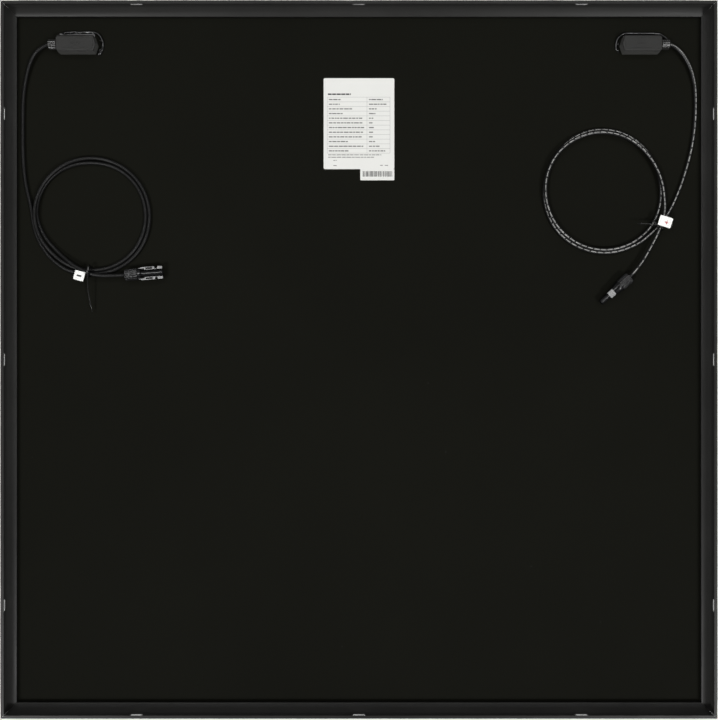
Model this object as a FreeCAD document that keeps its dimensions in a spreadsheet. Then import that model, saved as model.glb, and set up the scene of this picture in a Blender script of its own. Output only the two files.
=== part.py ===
import FreeCAD, Part
import math
import os
import Sketcher
from FreeCAD import Placement, Rotation, Vector

# A framed photovoltaic module, lying glass down with its back up.
# Origin: middle of the front face. +X to the plus side, +Y to the junction boxes, +Z out of the back.

STRINGS = 6
CELLS_PER_STRING = 12
NUT_FLUTES = 16
UP = Vector(0, 0, 1)

# Driving dimensions in millimetres, one spreadsheet cell each.
SIZES = {
    # aluminium frame
    "frame_height": 35, "frame_wall": 1.8,
    "front_lip_width": 8, "front_lip_thickness": 1.8,
    "ledge_width": 15, "chamber_wall": 1.4, "chamber_room": 3.6,
    "back_lip_width": 4.5, "back_lip_thickness": 1.6, "mitre_gap": 0.1,
    "slot_length": 20, "slot_width": 8, "slot_level": 24.8,
    "end_slot_inset_across": 200, "end_slot_inset_down": 166,
    "key_length": 60, "key_clearance": 0.25,
    # laminate, front to back
    "sealant_thickness": 0.6, "edge_gap": 1.2,
    "glass_thickness": 3.2, "encapsulant_thickness": 0.5, "cell_thickness": 0.2,
    "backsheet_thickness": 0.35,
    "cell_width": 166, "cell_depth": 83, "cell_gap": 2, "cell_chamfer": 8,
    "side_margin": 30, "end_margin": 25,
    "ribbon_gap": 4, "ribbon_width": 6, "ribbon_thickness": 0.3, "ribbon_play": 0.5,
    # junction boxes
    "box_from_side": 108.2, "box_from_top": 59,
    "box_length": 61, "box_width": 24.5, "box_point": 4, "box_chamfer": 3,
    "box_height": 13, "box_floor": 1.8, "box_wall": 1.8,
    "adhesive_thickness": 0.8, "adhesive_margin": 1, "adhesive_bulge": 8,
    "gasket_thickness": 0.5, "gasket_inset": 0.3, "gasket_width": 1.2,
    "lid_thickness": 2.4, "lid_edge_radius": 0.8, "lid_panel_inset": 3.4, "lid_panel_rise": 0.5,
    "lid_lip_depth": 1.8, "lid_lip_width": 1.2, "lid_clearance": 0.3,
    "lead_place": 12, "lead_slit_play": 0.5,
    "terminal_thickness": 0.8, "terminal_length": 8, "terminal_width": 7,
    "cable_terminal_length": 10, "cable_terminal_place": 11,
    "diode_length": 8, "diode_width": 5, "diode_height": 3, "diode_lead_width": 1.6,
    "diode_lead_thickness": 0.5,
    "gland_axis": 8, "gland_length": 13.7, "gland_radius": 7.8, "gland_grip_length": 11.7,
    "gland_tip_radius": 4.6,
    # cables and what is on them
    "cable_diameter": 5.8, "conductor_diameter": 2.6, "cable_play": 0.35, "lying_clearance": 0.1,
    "cable_into_box": 5, "coil_band": 13.5, "coil_lift": 1.5, "coil_thickness": 12.2,
    "coil_edge": 2.4, "minus_coil_radius": 87.7, "plus_coil_radius": 93.5,
    "strap_width": 2.6, "strap_thickness": 1.1, "strap_play": 0.3,
    "tie_head_length": 5, "tie_head_width": 4.8, "tie_head_height": 4,
    "tag_thickness": 0.5,
    "minus_tag_width": 16, "minus_tag_depth": 15, "minus_tag_level": 14,
    "plus_tag_width": 19.8, "plus_tag_depth": 15.6, "plus_tag_level": 19.6,
    # plug connectors, measured forwards from the back of the cap nut
    "nut_lift": 0.3, "nut_length": 19.5, "nut_radius": 9, "nut_end": 3, "nut_edge": 1.4, "nut_wall": 1.5,
    "flute_radius": 1.1, "flute_depth": 0.5,
    "nut_running_gap": 0.3, "cable_insertion": 16,
    "spigot_start": 4.5, "spigot_wall": 1.5, "contact_bore_radius": 2.05,
    "shoulder_radius": 8.4, "shoulder_length": 4.7,
    "socket_start": 28, "mouth_start": 50, "housing_end": 58,
    "socket_radius": 3, "mouth_radius": 3.3, "barrel_radius": 4.4,
    "arm_inner": 5.4, "arm_outer": 9.8, "arm_height": 7, "arm_root": 21, "arm_root_width": 2.8,
    "arm_full_width_at": 26, "arm_tip_chamfer": 1,
    "notch_start": 46.3, "notch_length": 3.7, "notch_depth": 1.4,
    "window_start": 33, "window_length": 9.5, "window_inner": 6.9, "window_width": 1.3,
    "taper_end_radius": 6.2, "catch_start": 33, "catch_length": 10, "catch_width": 10.4,
    "seal_start": 8, "seal_length": 7, "clamp_start": 4.6, "clamp_length": 3, "insert_clearance": 0.1,
    "contact_radius": 2, "pin_radius": 1.2, "socket_contact_radius": 2.2,
    "contact_end": 49.5,
    # labels
    "label_width": 108, "label_depth": 139, "label_thickness": 0.15, "label_from_top": 107,
    "code_label_width": 52, "code_label_depth": 17,
}


class Dim:
    """A length held both as a number and as the text of a spreadsheet expression."""

    def __init__(self, value, text):
        self.value = value
        self.text = text

    def __float__(self):
        return self.value

    def __add__(self, other):
        other = as_dim(other)
        return Dim(self.value + other.value, f"({self.text} + {other.text})")

    def __sub__(self, other):
        other = as_dim(other)
        return Dim(self.value - other.value, f"({self.text} - {other.text})")

    def __mul__(self, other):
        other = as_dim(other)
        return Dim(self.value * other.value, f"({self.text} * {other.text})")

    def __truediv__(self, other):
        other = as_dim(other)
        return Dim(self.value / other.value, f"({self.text} / {other.text})")

    def __neg__(self):
        return Dim(0.0, "0") - self


def as_dim(number):
    if isinstance(number, Dim):
        return number
    return Dim(float(number), f"({float(number):.6f})")


doc = FreeCAD.newDocument("solar_panel")
sheet = doc.addObject("Spreadsheet::Sheet", "Sizes")


class Sizes:
    """The spreadsheet's cells, as dimensions by name."""


S = Sizes()
for row, (alias, number) in enumerate(SIZES.items(), start=1):
    sheet.set(f"A{row}", str(number))
    sheet.setAlias(f"A{row}", alias)
    setattr(S, alias, Dim(float(number), f"Sizes.{alias}"))
doc.recompute()

# ---------------------------------------------------------------- derived places
cell_pitch = S.cell_depth + S.cell_gap
string_pitch = S.cell_width + S.cell_gap
cells_half_depth = (cell_pitch * CELLS_PER_STRING - S.cell_gap) / 2
cells_half_width = (string_pitch * STRINGS - S.cell_gap) / 2
laminate_width = (cells_half_width + S.side_margin) * 2
laminate_depth = (cells_half_depth + S.end_margin) * 2
panel_width = laminate_width + (S.frame_wall + S.edge_gap) * 2
panel_depth = laminate_depth + (S.frame_wall + S.edge_gap) * 2
half_width = panel_width / 2
half_depth = panel_depth / 2
glass_front = S.front_lip_thickness + S.sealant_thickness
front_encapsulant_front = glass_front + S.glass_thickness
cell_front = front_encapsulant_front + S.encapsulant_thickness
cell_back = cell_front + S.cell_thickness
backsheet_front = cell_back + S.encapsulant_thickness
backsheet_back = backsheet_front + S.backsheet_thickness
channel_back = backsheet_back + S.sealant_thickness
chamber_front = channel_back + S.chamber_wall
chamber_back = chamber_front + S.chamber_room
ledge_back = chamber_back + S.chamber_wall
ribbon_level = cells_half_depth + S.ribbon_gap
box_x = half_width - S.box_from_side
box_y = half_depth - S.box_from_top
box_bottom = backsheet_back + S.adhesive_thickness
lid_bottom = box_bottom + S.box_height + S.gasket_thickness
gland_mouth = box_x + S.box_length / 2 + S.gland_length
cable_radius = S.cable_diameter / 2
lying_height = cable_radius + S.lying_clearance
exit_lift = S.adhesive_thickness + S.gland_axis - lying_height
terminal_level = S.gland_axis - S.conductor_diameter / 2 - S.terminal_thickness
connector_axis = S.nut_radius + S.nut_lift

# The two leads. Points are (x, y, lift) from the gland's mouth; a lift of 0 lies on the backsheet.
# "out" is the side's direction along X, "turn" puts the junction box's gland outwards.
MINUS = {
    "name": "minus", "out": -1, "turn": 0, "latched": True,
    "coil_centre": (68, -257), "coil_radius": S.minus_coil_radius,
    "feed": [(0, 0), (-8, 0), (-17, -2.3, 5.4), (-25, -7.1, 4.7), (-31.2, -14, 3.8),
             (-35.2, -22.8, 2.8), (-37.9, -38.5, 1.4), (-40.4, -65, 0.3), (-42, -97, 0),
             (-41.8, -134, 0), (-40.6, -171, 0), (-36.5, -210, 0), (-26.5, -248, 0),
             (-21.5, -272, 0), (-13, -295, 0), (0.5, -316.5, 0), (16, -333, 0.3),
             (33.5, -343.2, 0.9), (51, -347, 1.6), (68, -343.2, 1.6)],
    "tail": [(35, -332.5, 7.6), (51, -341.5, 7.8), (68.5, -347.4, 7.8), (101, -351), (132.96, -348.63)],
    "tie_angle": 266.3, "tie_reach": 92, "head_place": 86,
    "strap_tail_length": 57, "strap_tail_turn": 7.7, "strap_tail_drop": 10,
    "tag_centre": (49.2, -351.4), "tag_turn": -15.5,
    "tag_width": S.minus_tag_width, "tag_depth": S.minus_tag_depth, "tag_level": S.minus_tag_level,
}
PLUS = {
    "name": "plus", "out": 1, "turn": 180, "latched": False,
    "coil_centre": (-97.5, -222.5), "coil_radius": S.plus_coil_radius,
    "feed": [(0, 0), (8, 0), (17, -2.3, 5.4), (25, -7.1, 4.7), (31.2, -14, 3.8),
             (35.2, -22.8, 2.8), (37.9, -38.5, 1.4), (40.2, -65, 0.3), (41, -97, 0),
             (39, -131, 0), (33, -166, 0), (21, -207, 0), (8.5, -238, 0.3), (-4, -261, 0.9),
             (-17, -277, 1.6), (-32, -289.5, 1.6), (-48, -299.2, 1.6), (-63, -306, 1.6)],
    "tail": [(-11.7, -238, 7.6), (-11.2, -257, 7.8), (-14.5, -278, 7.8), (-26, -301.5, 7.2),
             (-49.3, -342.4), (-73.3, -363.6)],
    "tie_angle": -33.6, "tie_reach": 103.2, "head_place": 94,
    "strap_tail_length": 34, "strap_tail_turn": 208, "strap_tail_drop": 2,
    "tag_centre": (-10.6, -270.3), "tag_turn": -17.5,
    "tag_width": S.plus_tag_width, "tag_depth": S.plus_tag_depth, "tag_level": S.plus_tag_level,
}
SIDES = (MINUS, PLUS)


# ---------------------------------------------------------------- document helpers
def bind(item, name, dim):
    item.setExpression(name, as_dim(dim).text)


def place(item, x=0, y=0, z=0, rotation=None):
    """Put an object at (x, y, z), each bound to the sheet, with a fixed rotation."""
    item.Placement = Placement(Vector(float(x), float(y), float(z)), rotation or Rotation())
    bind(item, "Placement.Base.x", x)
    bind(item, "Placement.Base.y", y)
    bind(item, "Placement.Base.z", z)
    return item


def turned(degrees):
    return Rotation(UP, degrees)


def box(label, low, size):
    item = doc.addObject("Part::Box", label)
    for name, dim in zip(("Length", "Width", "Height"), size):
        bind(item, name, dim)
    return place(item, *low)


def rod(label, start, length, radius, y=0, z=0):
    """A cylinder that lies along X."""
    item = doc.addObject("Part::Cylinder", label)
    bind(item, "Radius", radius)
    bind(item, "Height", length)
    return place(item, start, y, z, Rotation(Vector(0, 1, 0), 90))


def fuse(label, *pieces):
    item = doc.addObject("Part::MultiFuse", label)
    item.Shapes = list(pieces)
    return item


def cut(label, base, *tools):
    item = doc.addObject("Part::Cut", label)
    item.Base = base
    item.Tool = tools[0] if len(tools) == 1 else fuse(label + "_tools", *tools)
    return item


def group(label, *pieces):
    item = doc.addObject("Part::Compound", label)
    item.Links = list(pieces)
    return item


def new_body(label):
    return doc.addObject("PartDesign::Body", label)


def origin_feature(body, role):
    for feature in body.Origin.OriginFeatures:
        if feature.Role == role:
            return feature
    raise ValueError(f"{body.Label} has no {role}")


def sketch_on(body, role):
    sketch = body.newObject("Sketcher::SketchObject", body.Label + "_sketch")
    sketch.AttachmentSupport = [(origin_feature(body, role), "")]
    sketch.MapMode = "FlatFace"
    return sketch


def constrain(sketch, dim, kind, *where):
    index = sketch.addConstraint(Sketcher.Constraint(kind, *where, float(dim)))
    sketch.setExpression(f"Constraints[{index}]", as_dim(dim).text)


def pin(sketch, geometry, point, x, y):
    """Tie one point of a sketch to the spreadsheet, along both of the sketch's axes."""
    constrain(sketch, x, "DistanceX", -1, 1, geometry, point)
    constrain(sketch, y, "DistanceY", -1, 1, geometry, point)


def outline(sketch, corners):
    """A closed run of straight lines with every corner pinned."""
    first = sketch.GeometryCount
    count = len(corners)
    points = [Vector(float(x), float(y), 0) for x, y in corners]
    for i in range(count):
        sketch.addGeometry(Part.LineSegment(points[i], points[(i + 1) % count]))
    for i in range(count):
        sketch.addConstraint(Sketcher.Constraint("Coincident", first + i, 2, first + (i + 1) % count, 1))
        pin(sketch, first + i, 1, *corners[i])


def rectangle(sketch, left, low, width, height):
    outline(sketch, [(left, low), (left + width, low), (left + width, low + height), (left, low + height)])


def circle(sketch, x, y, radius):
    geometry = sketch.addGeometry(Part.Circle(Vector(float(x), float(y), 0), UP, float(radius)))
    pin(sketch, geometry, 3, x, y)
    constrain(sketch, radius, "Radius", geometry)


def obround(sketch, x, y, length, width):
    """A slot with round ends, long along the sketch's first axis."""
    radius = width / 2
    reach = (length - width) / 2
    first = sketch.GeometryCount
    for side, start in ((1, -90), (-1, 90)):
        centre = Vector(float(x) + side * float(reach), float(y), 0)
        ring = Part.Circle(centre, UP, float(radius))
        sketch.addGeometry(Part.ArcOfCircle(ring, math.radians(start), math.radians(start + 180)))
    for side in (1, -1):
        level = float(y) + side * float(radius)
        sketch.addGeometry(Part.LineSegment(Vector(float(x) + side * float(reach), level, 0),
                                            Vector(float(x) - side * float(reach), level, 0)))
    pin(sketch, first, 3, x + reach, y)
    pin(sketch, first + 1, 3, x - reach, y)
    constrain(sketch, radius, "Radius", first)
    for arc, arc_point, line, line_point in ((0, 2, 2, 1), (2, 2, 1, 1), (1, 2, 3, 1), (3, 2, 0, 1)):
        sketch.addConstraint(Sketcher.Constraint("Tangent", first + arc, arc_point, first + line, line_point))


def feature(body, kind, sketch):
    item = body.newObject("PartDesign::" + kind, f"{body.Label}_{kind}")
    item.Profile = sketch
    return item


def pad(body, sketch, length, symmetric=False, downwards=False):
    item = feature(body, "Pad", sketch)
    bind(item, "Length", length)
    item.SideType = "Symmetric" if symmetric else "One side"
    item.Reversed = downwards
    return item


def pocket(body, sketch, depth=None):
    """Cut against the sketch's normal to a depth, or right through both ways."""
    doc.recompute()
    before = body.Shape.Volume
    item = feature(body, "Pocket", sketch)
    if depth is None:
        item.Type = "ThroughAll"
        item.SideType = "Symmetric"
    else:
        bind(item, "Length", depth)
    doc.recompute()
    if not body.Shape.Volume < before - 0.01:
        raise RuntimeError(f"{item.Label} cuts nothing")
    return item


def revolve(body, sketch, axis_role):
    item = feature(body, "Revolution", sketch)
    item.ReferenceAxis = (origin_feature(body, axis_role), [""])
    item.Angle = 360
    return item


def repeat_in_line(body, original, axis_role, length, count):
    item = body.newObject("PartDesign::LinearPattern", body.Label + "_row")
    item.Originals = [original]
    item.Direction = (origin_feature(body, axis_role), [""])
    bind(item, "Length", length)
    item.Occurrences = count
    body.Tip = item


def repeat_round(body, original, axis_role, count):
    item = body.newObject("PartDesign::PolarPattern", body.Label + "_round")
    item.Originals = [original]
    item.Axis = (origin_feature(body, axis_role), [""])
    item.Angle = 360
    item.Occurrences = count
    body.Tip = item


def round_edges_at(body, level, radius):
    """Fillet every edge that lies wholly at one height of a body's own frame."""
    doc.recompute()
    base = body.Tip
    names = []
    for number, edge in enumerate(base.Shape.Edges, start=1):
        if abs(edge.BoundBox.ZMin - float(level)) < 1e-4 and abs(edge.BoundBox.ZMax - float(level)) < 1e-4:
            names.append(f"Edge{number}")
    item = body.newObject("PartDesign::Fillet", body.Label + "_fillet")
    item.Base = (base, names)
    bind(item, "Radius", radius)
    body.Tip = item


# ---------------------------------------------------------------- frame
def frame_rail(label, length, slot_pitch, x, y, turn):
    """One extruded rail: X along it, Y inwards from its outer face, mitred at both ends."""
    body = new_body(label)
    profile = sketch_on(body, "YZ_Plane")
    lip_front = S.frame_height - S.back_lip_thickness
    outline(profile, [
        (0, 0), (S.front_lip_width, 0), (S.front_lip_width, S.front_lip_thickness),
        (S.frame_wall, S.front_lip_thickness), (S.frame_wall, channel_back),
        (S.ledge_width, channel_back), (S.ledge_width, ledge_back), (S.frame_wall, ledge_back),
        (S.frame_wall, lip_front), (S.back_lip_width, lip_front),
        (S.back_lip_width, S.frame_height), (0, S.frame_height)])
    rectangle(profile, S.frame_wall, chamber_front,
              S.ledge_width - S.frame_wall - S.chamber_wall, S.chamber_room)
    pad(body, profile, length, symmetric=True)

    mitres = sketch_on(body, "XY_Plane")
    overcut = S.frame_wall
    corner = length / 2 - S.mitre_gap / math.sqrt(2)
    deep = S.ledge_width + overcut
    for side in (1, -1):
        outline(mitres, [((corner + overcut) * side, -overcut), ((length / 2 + overcut) * side, deep),
                         ((corner - deep) * side, deep)])
    pocket(body, mitres)

    slots = sketch_on(body, "XZ_Plane")
    obround(slots, -slot_pitch, S.slot_level, S.slot_length, S.slot_width)
    repeat_in_line(body, pocket(body, slots), "X_Axis", slot_pitch * 2, 3)
    return place(body, x, y, 0, turned(turn))


def corner_key(label, x, y, turn):
    """An L-shaped key pushed into the chambers of two rails; its corner is the frame's corner."""
    start = S.frame_wall + S.key_clearance
    width = S.ledge_width - S.frame_wall - S.chamber_wall - S.key_clearance * 2
    low = chamber_front + S.key_clearance
    height = S.chamber_room - S.key_clearance * 2
    along = box(label + "_along", (start, start, low), (S.key_length, width, height))
    across = box(label + "_across", (start, start, low), (width, S.key_length, height))
    return place(fuse(label, along, across), x, y, 0, turned(turn))


def frame_parts():
    """Four rails and the four keys that join them."""
    across = half_width - S.end_slot_inset_across
    down = half_depth - S.end_slot_inset_down
    yield frame_rail("frame_rail_bottom", panel_width, across, 0, -half_depth, 0)
    yield frame_rail("frame_rail_right", panel_depth, down, half_width, 0, 90)
    yield frame_rail("frame_rail_top", panel_width, across, 0, half_depth, 180)
    yield frame_rail("frame_rail_left", panel_depth, down, -half_width, 0, 270)
    yield corner_key("corner_key_bottom_left", -half_width, -half_depth, 0)
    yield corner_key("corner_key_bottom_right", half_width, -half_depth, 90)
    yield corner_key("corner_key_top_right", half_width, half_depth, 180)
    yield corner_key("corner_key_top_left", -half_width, half_depth, 270)


# ---------------------------------------------------------------- laminate
def sheet_of(label, width, depth, low, thickness):
    """A flat rectangle centred on the panel."""
    return box(label, (-width / 2, -depth / 2, low), (width, depth, thickness))


def edge_sealant():
    """The sealant that fills the frame's channel round the laminate."""
    label = "frame_sealant"
    fill = sheet_of(label + "_fill", panel_width - S.frame_wall * 2, panel_depth - S.frame_wall * 2,
                    S.front_lip_thickness, channel_back - S.front_lip_thickness)
    laminate = sheet_of(label + "_laminate", laminate_width, laminate_depth,
                        glass_front, backsheet_back - glass_front)
    front = sheet_of(label + "_front_window", panel_width - S.front_lip_width * 2,
                     panel_depth - S.front_lip_width * 2, S.front_lip_thickness, S.sealant_thickness)
    back = sheet_of(label + "_back_window", panel_width - S.ledge_width * 2,
                    panel_depth - S.ledge_width * 2, backsheet_back, S.sealant_thickness)
    return cut(label, fill, laminate, front, back)


def cell_string(number):
    """One column of half-cut cells, each with two corners trimmed."""
    body = new_body(f"cell_string_{number}")
    sketch = sketch_on(body, "XY_Plane")
    half = S.cell_width / 2
    trim = S.cell_chamfer
    outline(sketch, [(-half, 0), (half, 0), (half, S.cell_depth - trim), (half - trim, S.cell_depth),
                     (-half + trim, S.cell_depth), (-half, S.cell_depth - trim)])
    cell = pad(body, sketch, S.cell_thickness)
    repeat_in_line(body, cell, "Y_Axis", cell_pitch * (CELLS_PER_STRING - 1), CELLS_PER_STRING)
    return place(body, string_pitch * (number - (STRINGS + 1) / 2), -cells_half_depth, cell_front)


def bus_ribbons():
    """Flat ribbons that join neighbouring strings at the bottom and top edges."""
    label = "bus_ribbons"
    size = (string_pitch * 2 - S.cell_gap, S.ribbon_width, S.cell_thickness)
    pieces = []
    for first, level in ((0, -1), (2, -1), (4, -1), (1, 1), (3, 1)):
        low = ribbon_level if level > 0 else -ribbon_level - S.ribbon_width
        corner = (string_pitch * first - cells_half_width, low, cell_front)
        pieces.append(box(f"{label}_{first}", corner, size))
    return group(label, *pieces)


def lead_ribbon(side):
    """The ribbon from an end string, behind the cells, up into its junction box."""
    label = side["name"] + "_lead_ribbon"
    centre = side_x(side, box_x - S.lead_place)
    tab_front = cell_back + (S.encapsulant_thickness - S.ribbon_thickness) / 2
    tab_back = tab_front + S.ribbon_thickness
    half = S.ribbon_width / 2
    bar_low = side_x(side, cells_half_width - S.cell_width / 2) - S.cell_width / 2
    far = ribbon_level + S.ribbon_width
    near = box_y - S.ribbon_thickness / 2
    top = box_bottom + terminal_level + S.terminal_thickness
    bar = box(label + "_bar", (bar_low, ribbon_level, cell_front),
              (S.cell_width, S.ribbon_width, S.cell_thickness))
    step = box(label + "_step", (centre - half, ribbon_level, cell_front),
               (S.ribbon_width, S.ribbon_width, tab_back - cell_front))
    tab = box(label + "_tab", (centre - half, near, tab_front),
              (S.ribbon_width, far - near, S.ribbon_thickness))
    riser = box(label + "_riser", (centre - half, near, tab_front),
                (S.ribbon_width, S.ribbon_thickness, top - tab_front))
    return fuse(label, bar, step, tab, riser)


def side_x(side, distance):
    """A distance from the panel's middle, out to one side."""
    return as_dim(distance) * side["out"]


def ribbon_room(label, side, low, thickness, far):
    """The slit that a lead ribbon passes through, from the box to a far edge."""
    near = box_y - S.ribbon_thickness / 2 - S.ribbon_play
    width = S.ribbon_width + S.ribbon_play * 2
    left = side_x(side, box_x - S.lead_place) - width / 2
    return box(f"{label}_{side['name']}_slit", (left, near, low), (width, far - near, thickness))


def back_encapsulant():
    label = "back_encapsulant"
    whole = sheet_of(label + "_sheet", laminate_width, laminate_depth, cell_back, S.encapsulant_thickness)
    far = ribbon_level + S.ribbon_width + S.ribbon_play
    return cut(label, whole, *[ribbon_room(label, side, cell_back, S.encapsulant_thickness, far)
                               for side in SIDES])


def backsheet():
    label = "backsheet"
    whole = sheet_of(label + "_sheet", laminate_width, laminate_depth, backsheet_front,
                     S.backsheet_thickness)
    far = box_y + S.ribbon_thickness / 2 + S.ribbon_play
    return cut(label, whole, *[ribbon_room(label, side, backsheet_front, S.backsheet_thickness, far)
                               for side in SIDES])


def laminate_parts():
    yield edge_sealant()
    yield sheet_of("cover_glass", laminate_width, laminate_depth, glass_front, S.glass_thickness)
    yield sheet_of("front_encapsulant", laminate_width, laminate_depth,
                   front_encapsulant_front, S.encapsulant_thickness)
    for number in range(1, STRINGS + 1):
        yield cell_string(number)
    yield bus_ribbons()
    for side in SIDES:
        yield lead_ribbon(side)
    yield back_encapsulant()
    yield backsheet()


# ---------------------------------------------------------------- junction boxes
def box_outline(inset):
    """The box's plan, drawn in by an inset: square at the gland, a blunt point at the far end."""
    half_length = S.box_length / 2 - inset
    half = S.box_width / 2 - inset
    corner = S.box_chamfer - as_dim(inset) * (2 - math.sqrt(2))
    shoulder = half_length - S.box_point * half / (S.box_width / 2)
    return [(-half_length, -half + corner), (-half_length + corner, -half), (shoulder, -half),
            (half_length, 0), (shoulder, half), (-half_length + corner, half),
            (-half_length, half - corner)]


def at_box(side, item, level):
    return place(item, side_x(side, box_x), box_y, level, turned(side["turn"]))


def box_adhesive(side):
    """Silicone under the box, squeezed out along the edge nearer the frame and round the point."""
    body = new_body(side["name"] + "_box_adhesive")
    sketch = sketch_on(body, "XY_Plane")
    half_length = S.box_length / 2
    half = S.box_width / 2
    way = -side["out"]
    near = (half + S.adhesive_margin) * -way
    far = (half + S.adhesive_bulge) * way
    shoulder = half_length - S.box_point
    outline(sketch, [
        (-half_length + S.box_chamfer, near), (shoulder, near),
        (half_length + S.adhesive_bulge, -half * way / 2), (half_length + S.adhesive_bulge, half * way / 2),
        (shoulder + S.adhesive_bulge / 2, far), (-half_length + S.adhesive_bulge, far),
        (-half_length + S.box_chamfer, (half + S.adhesive_margin) * way)])
    pad(body, sketch, S.adhesive_thickness)
    slit = sketch_on(body, "XY_Plane")
    lead_slit(slit)
    pocket(body, slit)
    return at_box(side, body, backsheet_back)


def lead_slit(sketch):
    width = S.ribbon_width + S.lead_slit_play * 2
    depth = S.ribbon_thickness + S.lead_slit_play * 2
    rectangle(sketch, S.lead_place - width / 2, -depth / 2, width, depth)


def box_base(side):
    """An open tray with two posts for the terminals, a slit for the ribbon and a hole for the lead."""
    body = new_body(side["name"] + "_box_base")
    floor = sketch_on(body, "XY_Plane")
    outline(floor, box_outline(0))
    pad(body, floor, S.box_floor)
    walls = sketch_on(body, "XY_Plane")
    outline(walls, box_outline(0))
    outline(walls, box_outline(S.box_wall))
    pad(body, walls, S.box_height)
    posts = sketch_on(body, "XY_Plane")
    slit_edge = S.ribbon_thickness / 2 + S.lead_slit_play
    rectangle(posts, S.lead_place - S.terminal_length / 2, slit_edge,
              S.terminal_length, S.terminal_width - slit_edge)
    rectangle(posts, -S.cable_terminal_place - S.cable_terminal_length / 2, -S.terminal_width / 2,
              S.cable_terminal_length, S.terminal_width)
    pad(body, posts, terminal_level)
    slit = sketch_on(body, "XY_Plane")
    lead_slit(slit)
    pocket(body, slit)
    hole = sketch_on(body, "YZ_Plane")
    circle(hole, 0, S.gland_axis, cable_radius + S.cable_play)
    pocket(body, hole, S.box_length)
    return at_box(side, body, box_bottom)


def box_terminals(side):
    """Two tinned plates: one beside the ribbon, one under the lead's conductor."""
    label = side["name"] + "_box_terminals"
    beside = S.ribbon_thickness / 2
    ribbon_plate = box(label + "_ribbon", (S.lead_place - S.terminal_length / 2, beside,
                                           terminal_level),
                       (S.terminal_length, S.terminal_width - beside, S.terminal_thickness))
    cable_plate = box(label + "_cable", (-S.cable_terminal_place - S.cable_terminal_length / 2,
                                         -S.terminal_width / 2, terminal_level),
                      (S.cable_terminal_length, S.terminal_width, S.terminal_thickness))
    return at_box(side, group(label, ribbon_plate, cable_plate), box_bottom)


def bypass_diode(side):
    """A flat diode whose two leads lie on the terminals."""
    label = side["name"] + "_bypass_diode"
    low = terminal_level + S.terminal_thickness
    left = S.lead_place - S.terminal_length / 2 - S.diode_length - S.terminal_thickness
    front = S.conductor_diameter / 2 + S.ribbon_thickness
    body = box(label + "_body", (left, front, low), (S.diode_length, S.diode_width, S.diode_height))
    overlap = S.terminal_length / 2
    right = left + S.diode_length
    lead_size = (S.terminal_thickness + overlap, S.diode_lead_width, S.diode_lead_thickness)
    ribbon_lead = box(label + "_ribbon_lead", (right, front, low), lead_size)
    plate_end = -S.cable_terminal_place + S.cable_terminal_length / 2
    reach = left - plate_end + S.diode_lead_width
    cable_lead = box(label + "_cable_lead", (left - reach, front, low),
                     (reach, S.diode_lead_width, S.diode_lead_thickness))
    return at_box(side, fuse(label, body, ribbon_lead, cable_lead), box_bottom)


def box_gasket(side):
    body = new_body(side["name"] + "_box_gasket")
    sketch = sketch_on(body, "XY_Plane")
    outline(sketch, box_outline(S.gasket_inset))
    outline(sketch, box_outline(S.gasket_inset + S.gasket_width))
    pad(body, sketch, S.gasket_thickness)
    return at_box(side, body, box_bottom + S.box_height)


def box_lid(side):
    """A plate with rounded edges, a raised panel and a lip that drops inside the walls."""
    body = new_body(side["name"] + "_box_lid")
    plate = sketch_on(body, "XY_Plane")
    outline(plate, box_outline(0))
    pad(body, plate, S.lid_thickness)
    round_edges_at(body, S.lid_thickness, S.lid_edge_radius)
    panel = sketch_on(body, "XY_Plane")
    outline(panel, box_outline(S.lid_panel_inset))
    pad(body, panel, S.lid_thickness + S.lid_panel_rise)
    lip = sketch_on(body, "XY_Plane")
    outline(lip, box_outline(S.box_wall + S.lid_clearance))
    outline(lip, box_outline(S.box_wall + S.lid_clearance + S.lid_lip_width))
    pad(body, lip, S.gasket_thickness + S.lid_lip_depth, downwards=True)
    return at_box(side, body, lid_bottom)


def cable_gland(side):
    """A grip ring and a taper round the lead, turned about the lead's axis."""
    body = new_body(side["name"] + "_cable_gland")
    sketch = sketch_on(body, "XY_Plane")
    bore = cable_radius + S.cable_play
    face = -S.box_length / 2
    grip_end = face - S.gland_grip_length
    outline(sketch, [(face, bore), (face, S.gland_radius), (grip_end, S.gland_radius),
                     (face - S.gland_length, S.gland_tip_radius), (face - S.gland_length, bore)])
    revolve(body, sketch, "X_Axis")
    return at_box(side, body, box_bottom + S.gland_axis)


def cable_end(side):
    """The lead's end inside the gland and the box, stripped where it lies on its terminal."""
    label = side["name"] + "_cable_end"
    face = -S.box_length / 2
    stripped_from = face + S.cable_into_box
    jacket = rod(label + "_jacket", face - S.gland_length, S.gland_length + S.cable_into_box, cable_radius)
    conductor = rod(label + "_conductor", stripped_from,
                    -S.cable_terminal_place + S.cable_terminal_length / 2 - stripped_from,
                    S.conductor_diameter / 2)
    return at_box(side, fuse(label, jacket, conductor), box_bottom + S.gland_axis)


def junction_box_parts(side):
    yield box_adhesive(side)
    yield box_base(side)
    yield box_terminals(side)
    yield bypass_diode(side)
    yield box_gasket(side)
    yield box_lid(side)
    yield cable_gland(side)
    yield cable_end(side)


# ---------------------------------------------------------------- leads
def at_mouth(side, item, x=0, y=0, z=0, rotation=None):
    """Place something by its distance from the gland's mouth and from the backsheet."""
    return place(item, side_x(side, gland_mouth) + x, box_y + y, backsheet_back + z, rotation)


def route_points(side, part):
    """A stretch's points, from the gland's mouth: the ends meet the gland and the connector."""
    end_lift = {"feed": exit_lift, "tail": connector_axis - lying_height}[part]
    points = []
    for point in side[part]:
        lift = point[2] if len(point) == 3 else float(end_lift)
        points.append(Vector(point[0], point[1], float(lying_height) + lift))
    return points


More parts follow.
